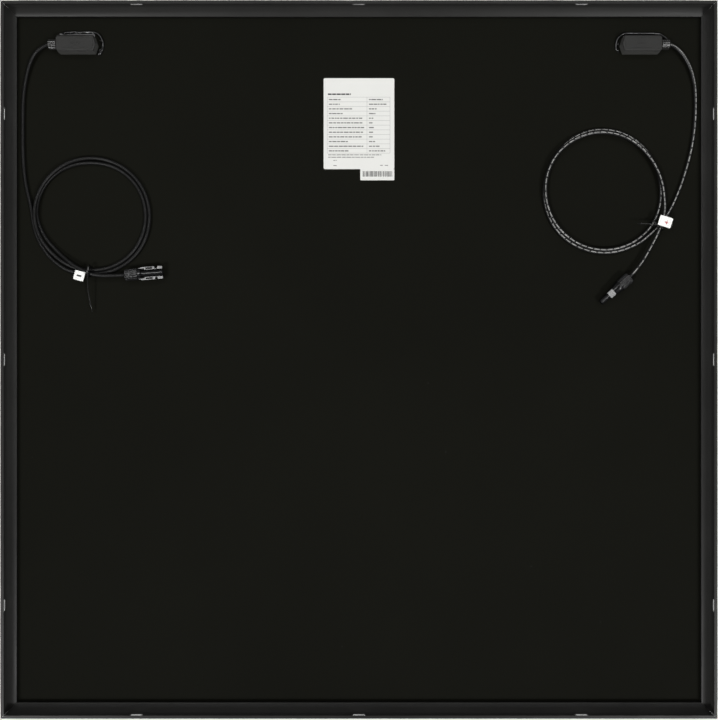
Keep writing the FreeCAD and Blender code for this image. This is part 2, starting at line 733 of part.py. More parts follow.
def rounded_path(label, points):
    """Straight runs joined by tangent arcs, each as large as its two runs allow."""
    edges = []
    last = points[0]
    radii = []
    for before, corner, after in zip(points, points[1:], points[2:]):
        back = (before - corner).normalize()
        forth = (after - corner).normalize()
        shorter = min((before - corner).Length, (after - corner).Length)
        turn = math.pi - back.getAngle(forth)
        setback = 0.45 * shorter
        radius = setback / math.tan(turn / 2)
        radii.append(radius)
        start = corner + back * setback
        end = corner + forth * setback
        inwards = (back + forth).normalize()
        middle = corner + inwards * (radius / math.cos(turn / 2) - radius)
        edges.append(Part.LineSegment(last, start).toShape())
        edges.append(Part.Arc(start, middle, end).toShape())
        last = end
    edges.append(Part.LineSegment(last, points[-1]).toShape())
    print(f"{label}: radii from {min(radii):.0f} to {max(radii):.0f} mm")
    return Part.Wire(edges)


def cable_tube(side, part):
    """One lying stretch of a lead, as a round tube along its path."""
    label = f"{side['name']}_cable_{part}"
    points = route_points(side, part)
    path = rounded_path(label, points)
    ring = Part.Circle(points[0], points[1] - points[0], float(cable_radius))
    tube = path.makePipeShell([Part.Wire([ring.toShape()])], True, False)
    expected = math.pi * float(cable_radius) ** 2 * path.Length
    if abs(tube.Volume / expected - 1) > 0.01:
        raise RuntimeError(f"{label} has the wrong volume")
    print(f"{label}: {path.Length:.0f} mm long")
    item = doc.addObject("Part::Feature", label)
    item.Shape = tube
    return at_mouth(side, item)


def cable_coil(side):
    """The outer shape of the two turns that are tied together."""
    body = new_body(side["name"] + "_cable_coil")
    sketch = sketch_on(body, "XZ_Plane")
    outer = side["coil_radius"]
    inner = outer - S.coil_band
    edge = S.coil_edge
    top = S.coil_thickness
    outline(sketch, [(inner + edge, 0), (outer - edge, 0), (outer, edge), (outer, top - edge),
                     (outer - edge, top), (inner + edge, top), (inner, top - edge), (inner, edge)])
    revolve(body, sketch, "Z_Axis")
    return at_mouth(side, body, *side["coil_centre"], S.coil_lift)


def cable_tie(side):
    """A strap round the bundle, its head on top and its loose end sticking out."""
    label = side["name"] + "_cable_tie"
    low = S.lying_clearance
    inner_low = low + S.strap_thickness
    inner_top = S.coil_lift + S.coil_thickness + S.strap_play
    start = side["coil_radius"] - S.coil_band - S.strap_play
    reach = as_dim(side["tie_reach"]) - start
    half = S.strap_width / 2
    loop = cut(label + "_loop",
               box(label + "_outside", (start - S.strap_thickness, -half, low),
                   (reach + S.strap_thickness * 2, S.strap_width, inner_top + S.strap_thickness - low)),
               box(label + "_inside", (start, -half, inner_low),
                   (reach, S.strap_width, inner_top - inner_low)))
    head_low = inner_top + S.strap_thickness
    head = box(label + "_head", (side["head_place"], -S.tie_head_width / 2, head_low),
               (S.tie_head_length, S.tie_head_width, S.tie_head_height))
    strap = doc.addObject("Part::Box", label + "_tail")
    bind(strap, "Length", side["strap_tail_length"])
    bind(strap, "Width", S.strap_width)
    bind(strap, "Height", S.strap_thickness)
    way = Rotation(UP, side["strap_tail_turn"]) * Rotation(Vector(0, 1, 0), side["strap_tail_drop"])
    shift = way.multVec(Vector(0, -float(half), 0))
    middle = S.tie_head_length / 2 + side["head_place"]
    place(strap, middle + shift.x, shift.y, head_low + S.tie_head_height / 2, way)
    tie = fuse(label, loop, head, strap)
    return at_mouth(side, tie, *side["coil_centre"], 0, turned(side["tie_angle"]))


def polarity_tag(side):
    """A small flag that lies on the lead beside the tie."""
    label = side["name"] + "_polarity_tag"
    turn = turned(side["tag_turn"])
    corner = turn.multVec(Vector(-float(side["tag_width"]) / 2, -float(side["tag_depth"]) / 2, 0))
    tag = box(label, (0, 0, 0), (side["tag_width"], side["tag_depth"], S.tag_thickness))
    x, y = side["tag_centre"]
    return at_mouth(side, tag, x + corner.x, y + corner.y, side["tag_level"], turn)


# ---------------------------------------------------------------- connectors
def at_connector(side, item):
    """Place a piece whose X axis is the connector's axis, from the back of its cap nut."""
    before, end = route_points(side, "tail")[-2:]
    way = (end - before).normalize()
    angle = math.degrees(math.atan2(way.y, way.x))
    return at_mouth(side, item, S.cable_insertion * -way.x + end.x, S.cable_insertion * -way.y + end.y,
                    connector_axis, turned(angle))


def cap_nut(side):
    """The fluted nut that squeezes the seal onto the lead."""
    body = new_body(side["name"] + "_cap_nut")
    sketch = sketch_on(body, "XY_Plane")
    bore = cable_radius + S.cable_play * 2
    cavity = S.nut_radius - S.nut_wall
    outline(sketch, [(0, bore), (0, S.nut_radius - S.nut_edge), (S.nut_edge, S.nut_radius),
                     (S.nut_length, S.nut_radius), (S.nut_length, cavity), (S.nut_end, cavity),
                     (S.nut_end, bore)])
    revolve(body, sketch, "X_Axis")
    flute = sketch_on(body, "YZ_Plane")
    circle(flute, 0, S.nut_radius + S.flute_radius - S.flute_depth, S.flute_radius)
    repeat_round(body, pocket(body, flute), "X_Axis", NUT_FLUTES)
    return at_connector(side, body)


def housing_core(body, front):
    """The turned middle of a housing: spigot, shoulder, then the outside given by front."""
    sketch = sketch_on(body, "XY_Plane")
    spigot = S.nut_radius - S.nut_wall - S.nut_running_gap
    shoulder = S.nut_length + S.nut_running_gap
    shoulder_end = shoulder + S.shoulder_length
    spigot_bottom = S.cable_insertion + S.cable_play
    outline(sketch, [
        (S.spigot_start, spigot - S.spigot_wall), (S.spigot_start, spigot), (shoulder, spigot),
        (shoulder, S.shoulder_radius), (shoulder_end, S.shoulder_radius), *front(shoulder_end),
        (S.housing_end, S.barrel_radius), (S.housing_end, S.mouth_radius),
        (S.mouth_start, S.mouth_radius), (S.mouth_start, S.socket_radius),
        (S.socket_start, S.socket_radius), (S.socket_start, S.contact_bore_radius),
        (spigot_bottom, S.contact_bore_radius), (spigot_bottom, spigot - S.spigot_wall)])
    revolve(body, sketch, "X_Axis")


def latched_housing(body):
    """A slim barrel between two latch arms with windows and catch notches."""
    housing_core(body, lambda end: [(end, S.barrel_radius)])
    arms = sketch_on(body, "XY_Plane")
    windows = sketch_on(body, "XY_Plane")
    notch_end = S.notch_start + S.notch_length
    notch_floor = S.arm_outer - S.notch_depth
    tip = S.housing_end
    for way in (1, -1):
        corners = [
            (S.arm_root, S.arm_inner), (S.arm_root, S.arm_inner + S.arm_root_width),
            (S.arm_full_width_at, S.arm_outer), (S.notch_start, S.arm_outer),
            (S.notch_start, notch_floor), (notch_end, notch_floor), (notch_end, S.arm_outer),
            (tip - S.arm_tip_chamfer, S.arm_outer), (tip, S.arm_outer - S.arm_tip_chamfer),
            (tip, S.arm_inner)]
        outline(arms, [(x, y * way) for x, y in corners])
        rectangle(windows, S.window_start, S.window_inner * way, S.window_length, S.window_width * way)
    pad(body, arms, S.arm_height, symmetric=True)
    pocket(body, windows)


def plain_housing(body):
    """A tapered body with a square catch block and a round nose."""
    housing_core(body, lambda end: [(S.catch_start, S.taper_end_radius),
                                    (S.catch_start, S.barrel_radius)])
    catch = sketch_on(body, "YZ_Plane")
    half = S.catch_width / 2
    rectangle(catch, -half, -half, S.catch_width, S.catch_width)
    circle(catch, 0, 0, S.barrel_radius - S.insert_clearance)
    block = pad(body, catch, S.catch_length)
    bind(catch, "AttachmentOffset.Base.z", S.catch_start)
    return block


def connector_housing(side):
    body = new_body(side["name"] + "_connector_housing")
    if side["latched"]:
        latched_housing(body)
    else:
        plain_housing(body)
    return at_connector(side, body)


def ring_insert(side, name, start, length):
    """A ring round the lead inside the spigot."""
    label = f"{side['name']}_{name}"
    outside = S.nut_radius - S.nut_wall - S.nut_running_gap - S.spigot_wall - S.insert_clearance
    ring = cut(label, rod(label + "_outside", start, length, outside),
               rod(label + "_inside", start, length, cable_radius + S.insert_clearance))
    return at_connector(side, ring)


def contact(side):
    """The crimped contact: a pin in the latched housing, a sleeve in the plain one."""
    label = side["name"] + "_contact"
    crimp = rod(label + "_crimp", S.cable_insertion, S.socket_start - S.cable_insertion, S.contact_radius)
    radius = S.pin_radius if side["latched"] else S.socket_contact_radius
    front = rod(label + "_front", S.socket_start, S.contact_end - S.socket_start, radius)
    if not side["latched"]:
        hole = rod(label + "_hole", S.socket_start, S.contact_end - S.socket_start,
                   S.pin_radius + S.insert_clearance)
        front = cut(label + "_sleeve", front, hole)
    return at_connector(side, fuse(label, crimp, front))


def lead_parts(side):
    yield cable_tube(side, "feed")
    yield cable_coil(side)
    yield cable_tube(side, "tail")
    yield cable_tie(side)
    yield polarity_tag(side)
    yield cap_nut(side)
    yield ring_insert(side, "cable_clamp", S.clamp_start, S.clamp_length)
    yield ring_insert(side, "cable_seal", S.seal_start, S.seal_length)
    yield contact(side)
    yield connector_housing(side)


# ---------------------------------------------------------------- labels
def label_parts():
    """The rating label, with the narrow code label under its right half."""
    low = half_depth - S.label_from_top - S.label_depth
    left = -S.label_width / 2
    yield box("rating_label", (left, low, backsheet_back),
              (S.label_width, S.label_depth, S.label_thickness))
    yield box("code_label", (-left - S.code_label_width, low - S.code_label_depth, backsheet_back),
              (S.code_label_width, S.code_label_depth, S.label_thickness))


# ---------------------------------------------------------------- build and write
def build():
    parts = [*frame_parts(), *laminate_parts()]
    for side in SIDES:
        parts.extend(junction_box_parts(side))
        parts.extend(lead_parts(side))
    parts.extend(label_parts())
    doc.recompute()
    for item in doc.Objects:
        if "Invalid" in item.State or "Error" in item.State:
            raise RuntimeError(f"{item.Label} did not rebuild: {item.State}")
    for part in parts:
        if part.Shape.isNull() or not part.Shape.isValid() or not part.Shape.Solids:
            raise RuntimeError(f"{part.Label} has no valid solid")
    return parts


def write(parts):
    os.makedirs("parts", exist_ok=True)
    for part in parts:
        part.Shape.exportStep(f"parts/{part.Label}.step")
        print(f"{part.Label}: {len(part.Shape.Solids)} solid(s), {part.Shape.Volume:.0f} mm3")
    print(f"{len(parts)} parts")


write(build())
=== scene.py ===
import math
import random

import bpy
import numpy as np
from bpy.props import FloatProperty, FloatVectorProperty, IntProperty, PointerProperty
from mathutils import Matrix, Vector


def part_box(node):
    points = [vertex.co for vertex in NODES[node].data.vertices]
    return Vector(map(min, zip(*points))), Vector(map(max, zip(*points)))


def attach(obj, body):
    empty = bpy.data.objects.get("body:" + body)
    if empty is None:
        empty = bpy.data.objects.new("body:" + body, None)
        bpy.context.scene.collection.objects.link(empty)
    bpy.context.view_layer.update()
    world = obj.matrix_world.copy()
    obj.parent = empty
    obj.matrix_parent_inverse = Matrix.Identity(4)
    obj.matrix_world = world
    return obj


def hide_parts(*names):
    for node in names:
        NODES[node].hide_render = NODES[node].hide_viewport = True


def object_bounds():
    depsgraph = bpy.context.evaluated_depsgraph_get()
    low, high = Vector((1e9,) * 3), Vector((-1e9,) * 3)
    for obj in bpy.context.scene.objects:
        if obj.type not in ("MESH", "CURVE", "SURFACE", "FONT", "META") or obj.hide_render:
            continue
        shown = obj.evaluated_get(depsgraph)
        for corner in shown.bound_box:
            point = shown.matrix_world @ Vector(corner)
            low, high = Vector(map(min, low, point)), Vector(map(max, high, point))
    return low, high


bl_info = {
    "name": "Framed solar panel",
    "version": (1, 0, 0),
    "blender": (4, 5, 0),
    "location": "3D View > Sidebar > Solar panel",
    "description": "Builds the visible pieces and finishes of a framed solar panel lying glass down",
    "category": "Object",
}

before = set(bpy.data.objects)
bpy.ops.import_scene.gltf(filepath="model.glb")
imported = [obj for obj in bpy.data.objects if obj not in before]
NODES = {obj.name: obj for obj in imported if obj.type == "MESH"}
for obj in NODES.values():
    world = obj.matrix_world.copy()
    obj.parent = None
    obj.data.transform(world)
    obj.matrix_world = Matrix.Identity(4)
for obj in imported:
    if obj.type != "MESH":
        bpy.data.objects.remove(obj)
CAD_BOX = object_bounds()
PANEL_BODY = "panel"
MM = 0.001
SHEET_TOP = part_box("backsheet")[1].z
STRINGS = 6

# The two leads. Route points are (x, y, lift) in millimetres from the gland's mouth, close to the CAD's:
# a lift of 0 lies on the backsheet. The coil's rows are (degrees swept, radius, lift) about its centre.
LEADS = {
    "minus": {
        "out": -1, "way": 1,
        "feed": [(0, 0, 5.8), (-5.5, -2.4, 5.7), (-12.5, -6.3, 5.3), (-20.5, -13, 4.6), (-27, -24, 3.6),
                 (-32, -38, 2.3), (-36.6, -57, 0.9), (-39.6, -79, 0.2), (-40.2, -100, 0),
                 (-40.4, -134, 0), (-40, -171, 0), (-36.5, -210, 0), (-27, -248, 0),
                 (-24.5, -272.5, 0), (-16.6, -296.7, 0), (-2.5, -319.1, 0), (14.9, -334.6, 0.3)],
        "coil_centre": (68, -257), "coil_from": 248, "coil_step": 22.5, "coil_points": 32,
        "coil": [(0, 92.4, 0.4), (14.5, 91.6, 0.5), (22, 90, 0.5), (37, 90, 0.4), (57, 89.4, 0.4),
                 (82, 87, 0.3), (112, 84.5, 0.3), (142, 83.9, 0.3), (172, 84.2, 0.3), (202, 85.6, 1),
                 (222, 86.8, 3.2), (232, 86.5, 5), (262, 87.6, 6.2), (292, 88.8, 6.3), (307, 88.2, 5.3),
                 (322, 87.6, 4.2), (337, 85.9, 2.4), (352, 86, 1.2), (367, 86.3, 1), (382, 84.5, 0.9),
                 (397, 84.2, 0.8), (412, 83.5, 0.6), (442, 80.6, 0.3), (472, 78.6, 0.3),
                 (502, 77.9, 0.3), (532, 78.2, 0.3), (562, 78.2, 0.3), (577, 79.8, 0.3),
                 (592, 82.9, 0.3), (607, 85.5, 0.3), (622, 87.4, 0.3), (652, 87.6, 0.3),
                 (667, 83.9, 0.3), (682, 80, 0.5), (697, 77.5, 1.2)],
        "tail": [(35, -332.5, 5.6), (51, -341.5, 7.8), (68.5, -350.4, 7.8), (101, -351, 6.9),
                 (132.96, -348.63, 6.3)],
        "tie_angle": 266.3, "tie_inner": 79, "tie_outer": 94.6, "head_place": 86,
        "strap_length": 61, "strap_turn": 7.7, "strap_drop": 10,
        "tag_centre": (49, -351.1), "tag_turn": -15, "tag_size": (15.6, 14.2), "tag_level": 14,
    },
    "plus": {
        "out": 1, "way": -1,
        "feed": [(0, 0, 5.8), (6, -2.2, 5.6), (12, -6.6, 5.2), (19, -13.6, 4.5), (26, -23.4, 3.6),
                 (32.6, -36, 2.4), (37.4, -50.5, 1.2), (40.4, -67, 0.3), (41, -97, 0),
                 (39, -131, 0), (33, -166, 0), (21, -207, 0), (8.5, -238, 0.3), (-4, -261, 0.6),
                 (-17, -277, 0.9), (-31.5, -290, 0.9)],
        "coil_centre": (-97.5, -222.5), "coil_from": 303, "coil_step": 22.5, "coil_points": 30,
        "coil": [(0, 92.6, 0.6), (33, 92.6, 0.3), (63, 93.2, 0.3), (93, 93.2, 0.3), (123, 92, 0.3),
                 (153, 92.4, 0.3), (183, 95.1, 0.3), (198, 95.5, 0.3), (213, 94.8, 0.3),
                 (228, 93.3, 0.3), (248, 90.6, 0.3), (273, 86.9, 0.3), (303, 84.7, 0.3),
                 (313, 85.8, 0.3), (328, 88, 0.4), (349, 87.8, 0.5), (363, 87.8, 1.2),
                 (393, 88.6, 3), (423, 89.2, 3.6), (453, 90, 4.6), (477, 90.8, 6),
                 (512, 92.8, 6.4), (542, 91.2, 6.2), (562, 90.2, 6), (572, 89, 6), (587, 87.4, 6),
                 (603, 85.9, 6), (618, 84.2, 6.3), (633, 83.9, 6.6), (653, 85.3, 7)],
        "tail": [(-8.5, -238, 7.6), (-8.7, -256, 7.8), (-15, -278, 7.8), (-26, -301.5, 7.2),
                 (-49.3, -342.4, 6.3), (-73.3, -363.6, 6.3)],
        "tie_angle": -33.6, "tie_inner": 83, "tie_outer": 104, "head_place": 94,
        "strap_length": 34, "strap_turn": 208, "strap_drop": 2,
        "tag_centre": (-10.6, -270.3), "tag_turn": -17.5, "tag_size": (19.8, 15.6), "tag_level": 19.6,
    },
}
# In millimetres: a lying cable's middle over the backsheet, and how far a connector takes its cable in.
LYING_HEIGHT = 3.0
CABLE_INSERTION = 16


# ---------------------------------------------------------------- settings
class StageSettings(bpy.types.PropertyGroup):
    """The camera, the lamps and the floor."""
    camera_height: FloatProperty(name="Camera height", description="Height of the lens over the floor",
                                 default=1.32, min=0.5, unit="LENGTH")
    lens: FloatProperty(name="Lens", description="Focal length", default=42.96, unit="CAMERA")
    main_power: FloatProperty(name="Main lamp power", default=560.0, unit="POWER",
                              description="Each of the two lamps beyond the bottom corners")
    spot_power: FloatProperty(name="Small lamp power", description="Each of the small lamps overhead",
                              default=6.0, unit="POWER")
    card_power: FloatProperty(name="Card power", description="The broad pale card beyond the top edge",
                              default=26.0, unit="POWER")
    side_card_power: FloatProperty(name="Side card power", default=2.5, unit="POWER",
                                   description="Each of the dim cards beside the panel")
    floor_colour: FloatVectorProperty(name="Floor", description="Colour of the floor", size=3,
                                      subtype="COLOR", default=(0.86, 0.86, 0.85))


class FrameSettings(bpy.types.PropertyGroup):
    """The extruded frame and the laminate that it holds."""
    edge: FloatProperty(name="Edge radius", description="Softening of the rails' edges",
                        default=0.25 * MM, unit="LENGTH")
    colour: FloatVectorProperty(name="Anodising", description="Colour of the frame", size=3,
                                subtype="COLOR", default=(0.02, 0.0198, 0.0188))
    # Painted light: the upright faces' paler colour stands in for the light that the walls catch.
    painted_light_wall_colour: FloatVectorProperty(name="Walls", description="Colour of the frame's upright faces", size=3,
                                     subtype="COLOR", default=(0.03, 0.0297, 0.0285))
    sheet_colour: FloatVectorProperty(name="Backsheet", description="Colour of the back film", size=3,
                                      subtype="COLOR", default=(0.0054, 0.0055, 0.0037))
    wires_per_cell: IntProperty(name="Wires per cell", description="Round wires across each cell",
                                default=9, min=1)


class BoxSettings(bpy.types.PropertyGroup):
    """The junction boxes and the silicone round them."""
    edge: FloatProperty(name="Edge radius", description="Softening of the moulded edges",
                        default=0.5 * MM, unit="LENGTH")
    lid_colour: FloatVectorProperty(name="Lid", description="Colour of the lids", size=3,
                                    subtype="COLOR", default=(0.024, 0.024, 0.0228))
    bead_radius: FloatProperty(name="Bead radius", description="Middle radius of the silicone bead",
                               default=2.7 * MM, unit="LENGTH")


class LeadSettings(bpy.types.PropertyGroup):
    """The two leads, their ties, tags and connectors."""
    diameter: FloatProperty(name="Cable diameter", description="Outside of the jacket",
                            default=5.8 * MM, unit="LENGTH")
    jacket_colour: FloatVectorProperty(name="Jacket", description="Colour of the cable", size=3,
                                       subtype="COLOR", default=(0.005, 0.005, 0.005))
    connector_edge: FloatProperty(name="Connector edges", description="Softening of the connectors' edges",
                                  default=0.2 * MM, unit="LENGTH")


class LabelSettings(bpy.types.PropertyGroup):
    """The two stickers on the backsheet."""
    paper_colour: FloatVectorProperty(name="Label", description="Colour of the label film", size=3,
                                      subtype="COLOR", default=(0.74, 0.74, 0.712))
    corner: FloatProperty(name="Corner radius", description="Rounding of the rating label's corners",
                          default=2.2 * MM, unit="LENGTH")
    rows: IntProperty(name="Table rows", description="Rows of the ruled table", default=12, min=1)


# ---------------------------------------------------------------- modelling helpers
def deselect():
    active = bpy.context.view_layer.objects.active
    if active is not None and active.mode != "OBJECT":
        bpy.ops.object.mode_set(mode="OBJECT")
    bpy.ops.object.select_all(action="DESELECT")


def pick(*pieces):
    """Select these pieces and nothing else; the first is the active one."""
    deselect()
    for piece in pieces:
        piece.select_set(True)
    bpy.context.view_layer.objects.active = pieces[0]
    return pieces[0]


def settle(piece):
    """Put a piece's place into its mesh, so that its object sits at the origin."""
    pick(piece)
    bpy.ops.object.transform_apply(location=True, rotation=True, scale=True)
    return piece


def link_new(name, data):
    """A new object round this data, linked to the scene."""
    piece = bpy.data.objects.new(name, data)
    bpy.context.scene.collection.objects.link(piece)
    return piece


def primitive(add, **shape):
    """What an operator adds, with its place and scale put into the mesh."""
    deselect()
    add(**shape)
    return settle(bpy.context.object)


def tube(name, points, radius, roundness, order, steps):
    """A round tube along a smooth line that is led by points (x, y, z, share of the radius)."""
    curve = bpy.data.curves.new(name, "CURVE")
    curve.dimensions = "3D"
    curve.bevel_depth = radius
    curve.bevel_resolution = roundness
    curve.use_fill_caps = True
    spline = curve.splines.new("NURBS")
    spline.points.add(len(points) - 1)
    for point, (*place, share) in zip(spline.points, points):
        point.co = (*place, 1)
        point.radius = share
    spline.order_u = order
    spline.use_endpoint_u = True
    spline.resolution_u = steps
    return link_new(name, curve)


def rotation(degrees, axis):
    return Matrix.Rotation(math.radians(degrees), 4, axis)


def move_mesh(piece, matrix):
    piece.data.transform(matrix)
    piece.data.update()
    return piece


def apply_modifiers(piece):
    pick(piece)
    for modifier in list(piece.modifiers):
        bpy.ops.object.modifier_apply(modifier=modifier.name)
    return piece


def shade(piece, degrees=35):
    pick(piece)
    bpy.ops.object.shade_smooth_by_angle(angle=math.radians(degrees))
    return piece


def sharp_edges(mesh, degrees):
    """The edges whose two faces turn by more than an angle."""
    normals = {}
    for face in mesh.polygons:
        for key in face.edge_keys:
            normals.setdefault(key, []).append(face.normal)
    limit = math.cos(math.radians(degrees))
    return {key for key, pair in normals.items() if len(pair) == 2 and pair[0].dot(pair[1]) < limit}


def soften(piece, width, segments=2, degrees=32, keep=None):
    """Round every edge sharper than an angle, then shade what is left smooth."""
    bevel = piece.modifiers.new("Soft edges", "BEVEL")
    bevel.width = width
    bevel.segments = segments
    bevel.limit_method = "ANGLE"
    bevel.angle_limit = math.radians(degrees)
    if keep:
        pick(piece)
        mesh = piece.data
        sharp = sharp_edges(mesh, degrees)
        weights = mesh.attributes.new("bevel_weight_edge", "FLOAT", "EDGE")
        for edge in mesh.edges:
            weights.data[edge.index].value = keep(edge, mesh.vertices) if edge.key in sharp else 0.0
        bevel.limit_method = "WEIGHT"
    bevel.use_clamp_overlap = False
    apply_modifiers(piece)
    return flatten_shading(shade(piece))


def flatten_shading(piece):
    """Keep the shading of wide faces flat up to their softened edges."""
    weighted = piece.modifiers.new("Flat faces", "WEIGHTED_NORMAL")
    weighted.keep_sharp = True
    return apply_modifiers(piece)


def choose(piece, kind, test):
    """In edit mode afterwards: only the faces, edges or vertices that pass the test are selected."""
    pick(piece)
    mesh = piece.data
    for group in (mesh.polygons, mesh.edges, mesh.vertices):
        group.foreach_set("select", [False] * len(group))
    for element in getattr(mesh, kind):
        element.select = bool(test(element))
    bpy.ops.object.mode_set(mode="EDIT")
    bpy.ops.mesh.select_mode(type={"polygons": "FACE", "edges": "EDGE", "vertices": "VERT"}[kind])


def leave_edit():
    bpy.ops.object.mode_set(mode="OBJECT")


def choose_edges(piece, axis, length):
    """In edit mode afterwards: only the edges that run further than a length along one axis."""
    places = [vertex.co[axis] for vertex in piece.data.vertices]
    choose(piece, "edges", lambda edge: abs(places[edge.vertices[0]] - places[edge.vertices[1]]) > length)


def thicken(piece, thickness):
    """Give a sheet its thickness, inwards."""
    solid = piece.modifiers.new("Thickness", "SOLIDIFY")
    solid.thickness = thickness
    solid.offset = -1
    return apply_modifiers(piece)


def block(name, low, high, edge=0.0, segments=2):
    """A rectangular piece between two corners, with softened edges."""
    low, high = Vector(low), Vector(high)
    piece = primitive(bpy.ops.mesh.primitive_cube_add, size=1, location=(low + high) / 2, scale=high - low)
    piece.name = name
    return soften(piece, edge, segments) if edge else piece


def joined(name, pieces):
    pick(*pieces)
    if len(pieces) > 1:
        bpy.ops.object.join()
    piece = bpy.context.object
    piece.name = name
    piece.data.name = name
    return piece


def rounded_copy(node, name, width, segments=2, degrees=32, keep=None):
    """A new piece with a CAD node's shape and softened edges."""
    mesh = NODES[node].data.copy()
    mesh.materials.clear()
    piece = pick(link_new(name, mesh))
    bpy.ops.object.mode_set(mode="EDIT")
    bpy.ops.mesh.select_all(action="SELECT")
    bpy.ops.mesh.remove_doubles(threshold=2e-6)
    bpy.ops.mesh.dissolve_limited(angle_limit=math.radians(0.6))
    leave_edit()
    return soften(piece, width, segments, degrees, keep)


def hand_over(piece, body, slot, finish, *replaced):
    """Give a finished piece its body, its material and the CAD nodes it stands for; the slot is not used."""
    if piece.type == "MESH":
        piece.data.materials.clear()
    piece.data.materials.append(FINISHES[finish])
    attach(piece, body)
    if replaced:
        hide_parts(*replaced)
    return piece


def settings(name):
    return getattr(bpy.context.scene, "solar_panel_" + name)


# ---------------------------------------------------------------- shader groups
def add_node(tree, kind, inputs=None, **plain):
    """A shader node with its plain settings and its inputs, each a value or another node's output."""
    node = tree.nodes.new("ShaderNode" + kind)
    for label, value in plain.items():
        setattr(node, label, value)
    for label, value in (inputs or {}).items():
        if isinstance(value, bpy.types.NodeSocket):
            tree.links.new(value, node.inputs[label])
        else:
            node.inputs[label].default_value = value
    return node


def add_noise(tree, position, scale, detail=3.0, roughness=0.55):
    return add_node(tree, "TexNoise", {"Vector": position, "Scale": scale, "Detail": detail,
                                       "Roughness": roughness}).outputs["Fac"]


def add_range(tree, value, low, high, from_low=0.3, from_high=0.7):
    return add_node(tree, "MapRange", {"Value": value, "From Min": from_low, "From Max": from_high,
                                       "To Min": low, "To Max": high}).outputs["Result"]


def add_math(tree, operation, first, second=0.0):
    return add_node(tree, "Math", {0: first, 1: second}, operation=operation).outputs[0]


def add_mix(tree, factor, colour, other):
    return add_node(tree, "Mix", {0: factor, 6: colour, 7: other}, data_type="RGBA").outputs[2]


def new_group(name, defaults, outputs):
    """A node group that takes a position and these inputs, what comes in, and what goes out."""
    tree = bpy.data.node_groups.new(name, "ShaderNodeTree")
    tree.interface.new_socket("Position", in_out="INPUT", socket_type="NodeSocketVector")
    for label, value in defaults.items():
        kind = "Float" if isinstance(value, float) else {3: "Vector", 4: "Color"}[len(value)]
        socket = tree.interface.new_socket(label, in_out="INPUT", socket_type="NodeSocket" + kind)
        socket.default_value = value
    for label, kind in outputs.items():
        tree.interface.new_socket(label, in_out="OUTPUT", socket_type="NodeSocket" + kind)
    return tree, tree.nodes.new("NodeGroupInput").outputs, tree.nodes.new("NodeGroupOutput").inputs


def grain_group():
    """Fine noise, as a value between two ends and as a height."""
    tree, given, result = new_group("Fine grain", {"Scale": 900.0, "Low": 0.4, "High": 0.6},
                                    {"Value": "Float", "Height": "Float"})
    fine = add_noise(tree, given["Position"], given["Scale"])
    tree.links.new(add_range(tree, fine, given["Low"], given["High"]), result["Value"])
    tree.links.new(fine, result["Height"])
    return tree


def uneven_group():
    """Two colours in broad soft patches."""
    tree, given, result = new_group("Uneven colour", {"Scale": 20.0, "Colour": (0.1, 0.1, 0.1, 1),
                                                      "Other colour": (0.12, 0.12, 0.12, 1)},
                                    {"Colour": "Color"})
    broad = add_noise(tree, given["Position"], given["Scale"], 4.0, 0.6)
    mixed = add_mix(tree, add_range(tree, broad, 0.0, 1.0), given["Colour"], given["Other colour"])
    tree.links.new(mixed, result["Colour"])
    return tree


def drawn_group():
    """Noise pulled out into lines, as a value between two ends and as a height."""
    tree, given, result = new_group("Drawn lines", {"Stretch": (1.0, 1.0, 1.0), "Scale": 900.0,
                                                    "Low": 0.35, "High": 0.5},
                                    {"Value": "Float", "Height": "Float"})
    stretched = add_node(tree, "VectorMath", {0: given["Position"], 1: given["Stretch"]},
                         operation="MULTIPLY").outputs[0]
    lines = add_noise(tree, stretched, given["Scale"], 2.0, 0.7)
    tree.links.new(add_range(tree, lines, given["Low"], given["High"]), result["Value"])
    tree.links.new(lines, result["Height"])
    return tree


def specks_group():
    """Small round specks in a share of the cells of a scattered pattern."""
    tree, given, result = new_group("Dust specks", {"Scale": 60.0, "Size": 0.05, "Share": 0.3},
                                    {"Mask": "Float"})
    cells = add_node(tree, "TexVoronoi", {"Vector": given["Position"], "Scale": given["Scale"]}).outputs
    near = add_math(tree, "LESS_THAN", cells["Distance"], given["Size"])
    chance = add_node(tree, "SeparateColor", {0: cells["Color"]}).outputs[0]
    few = add_math(tree, "LESS_THAN", chance, given["Share"])
    tree.links.new(add_math(tree, "MULTIPLY", near, few), result["Mask"])
    return tree


def build_groups():
    """Effects that several finishes share."""
    return {"grain": grain_group(), "uneven": uneven_group(), "drawn": drawn_group(),
            "specks": specks_group()}


GROUPS = {}
FINISHES = {}


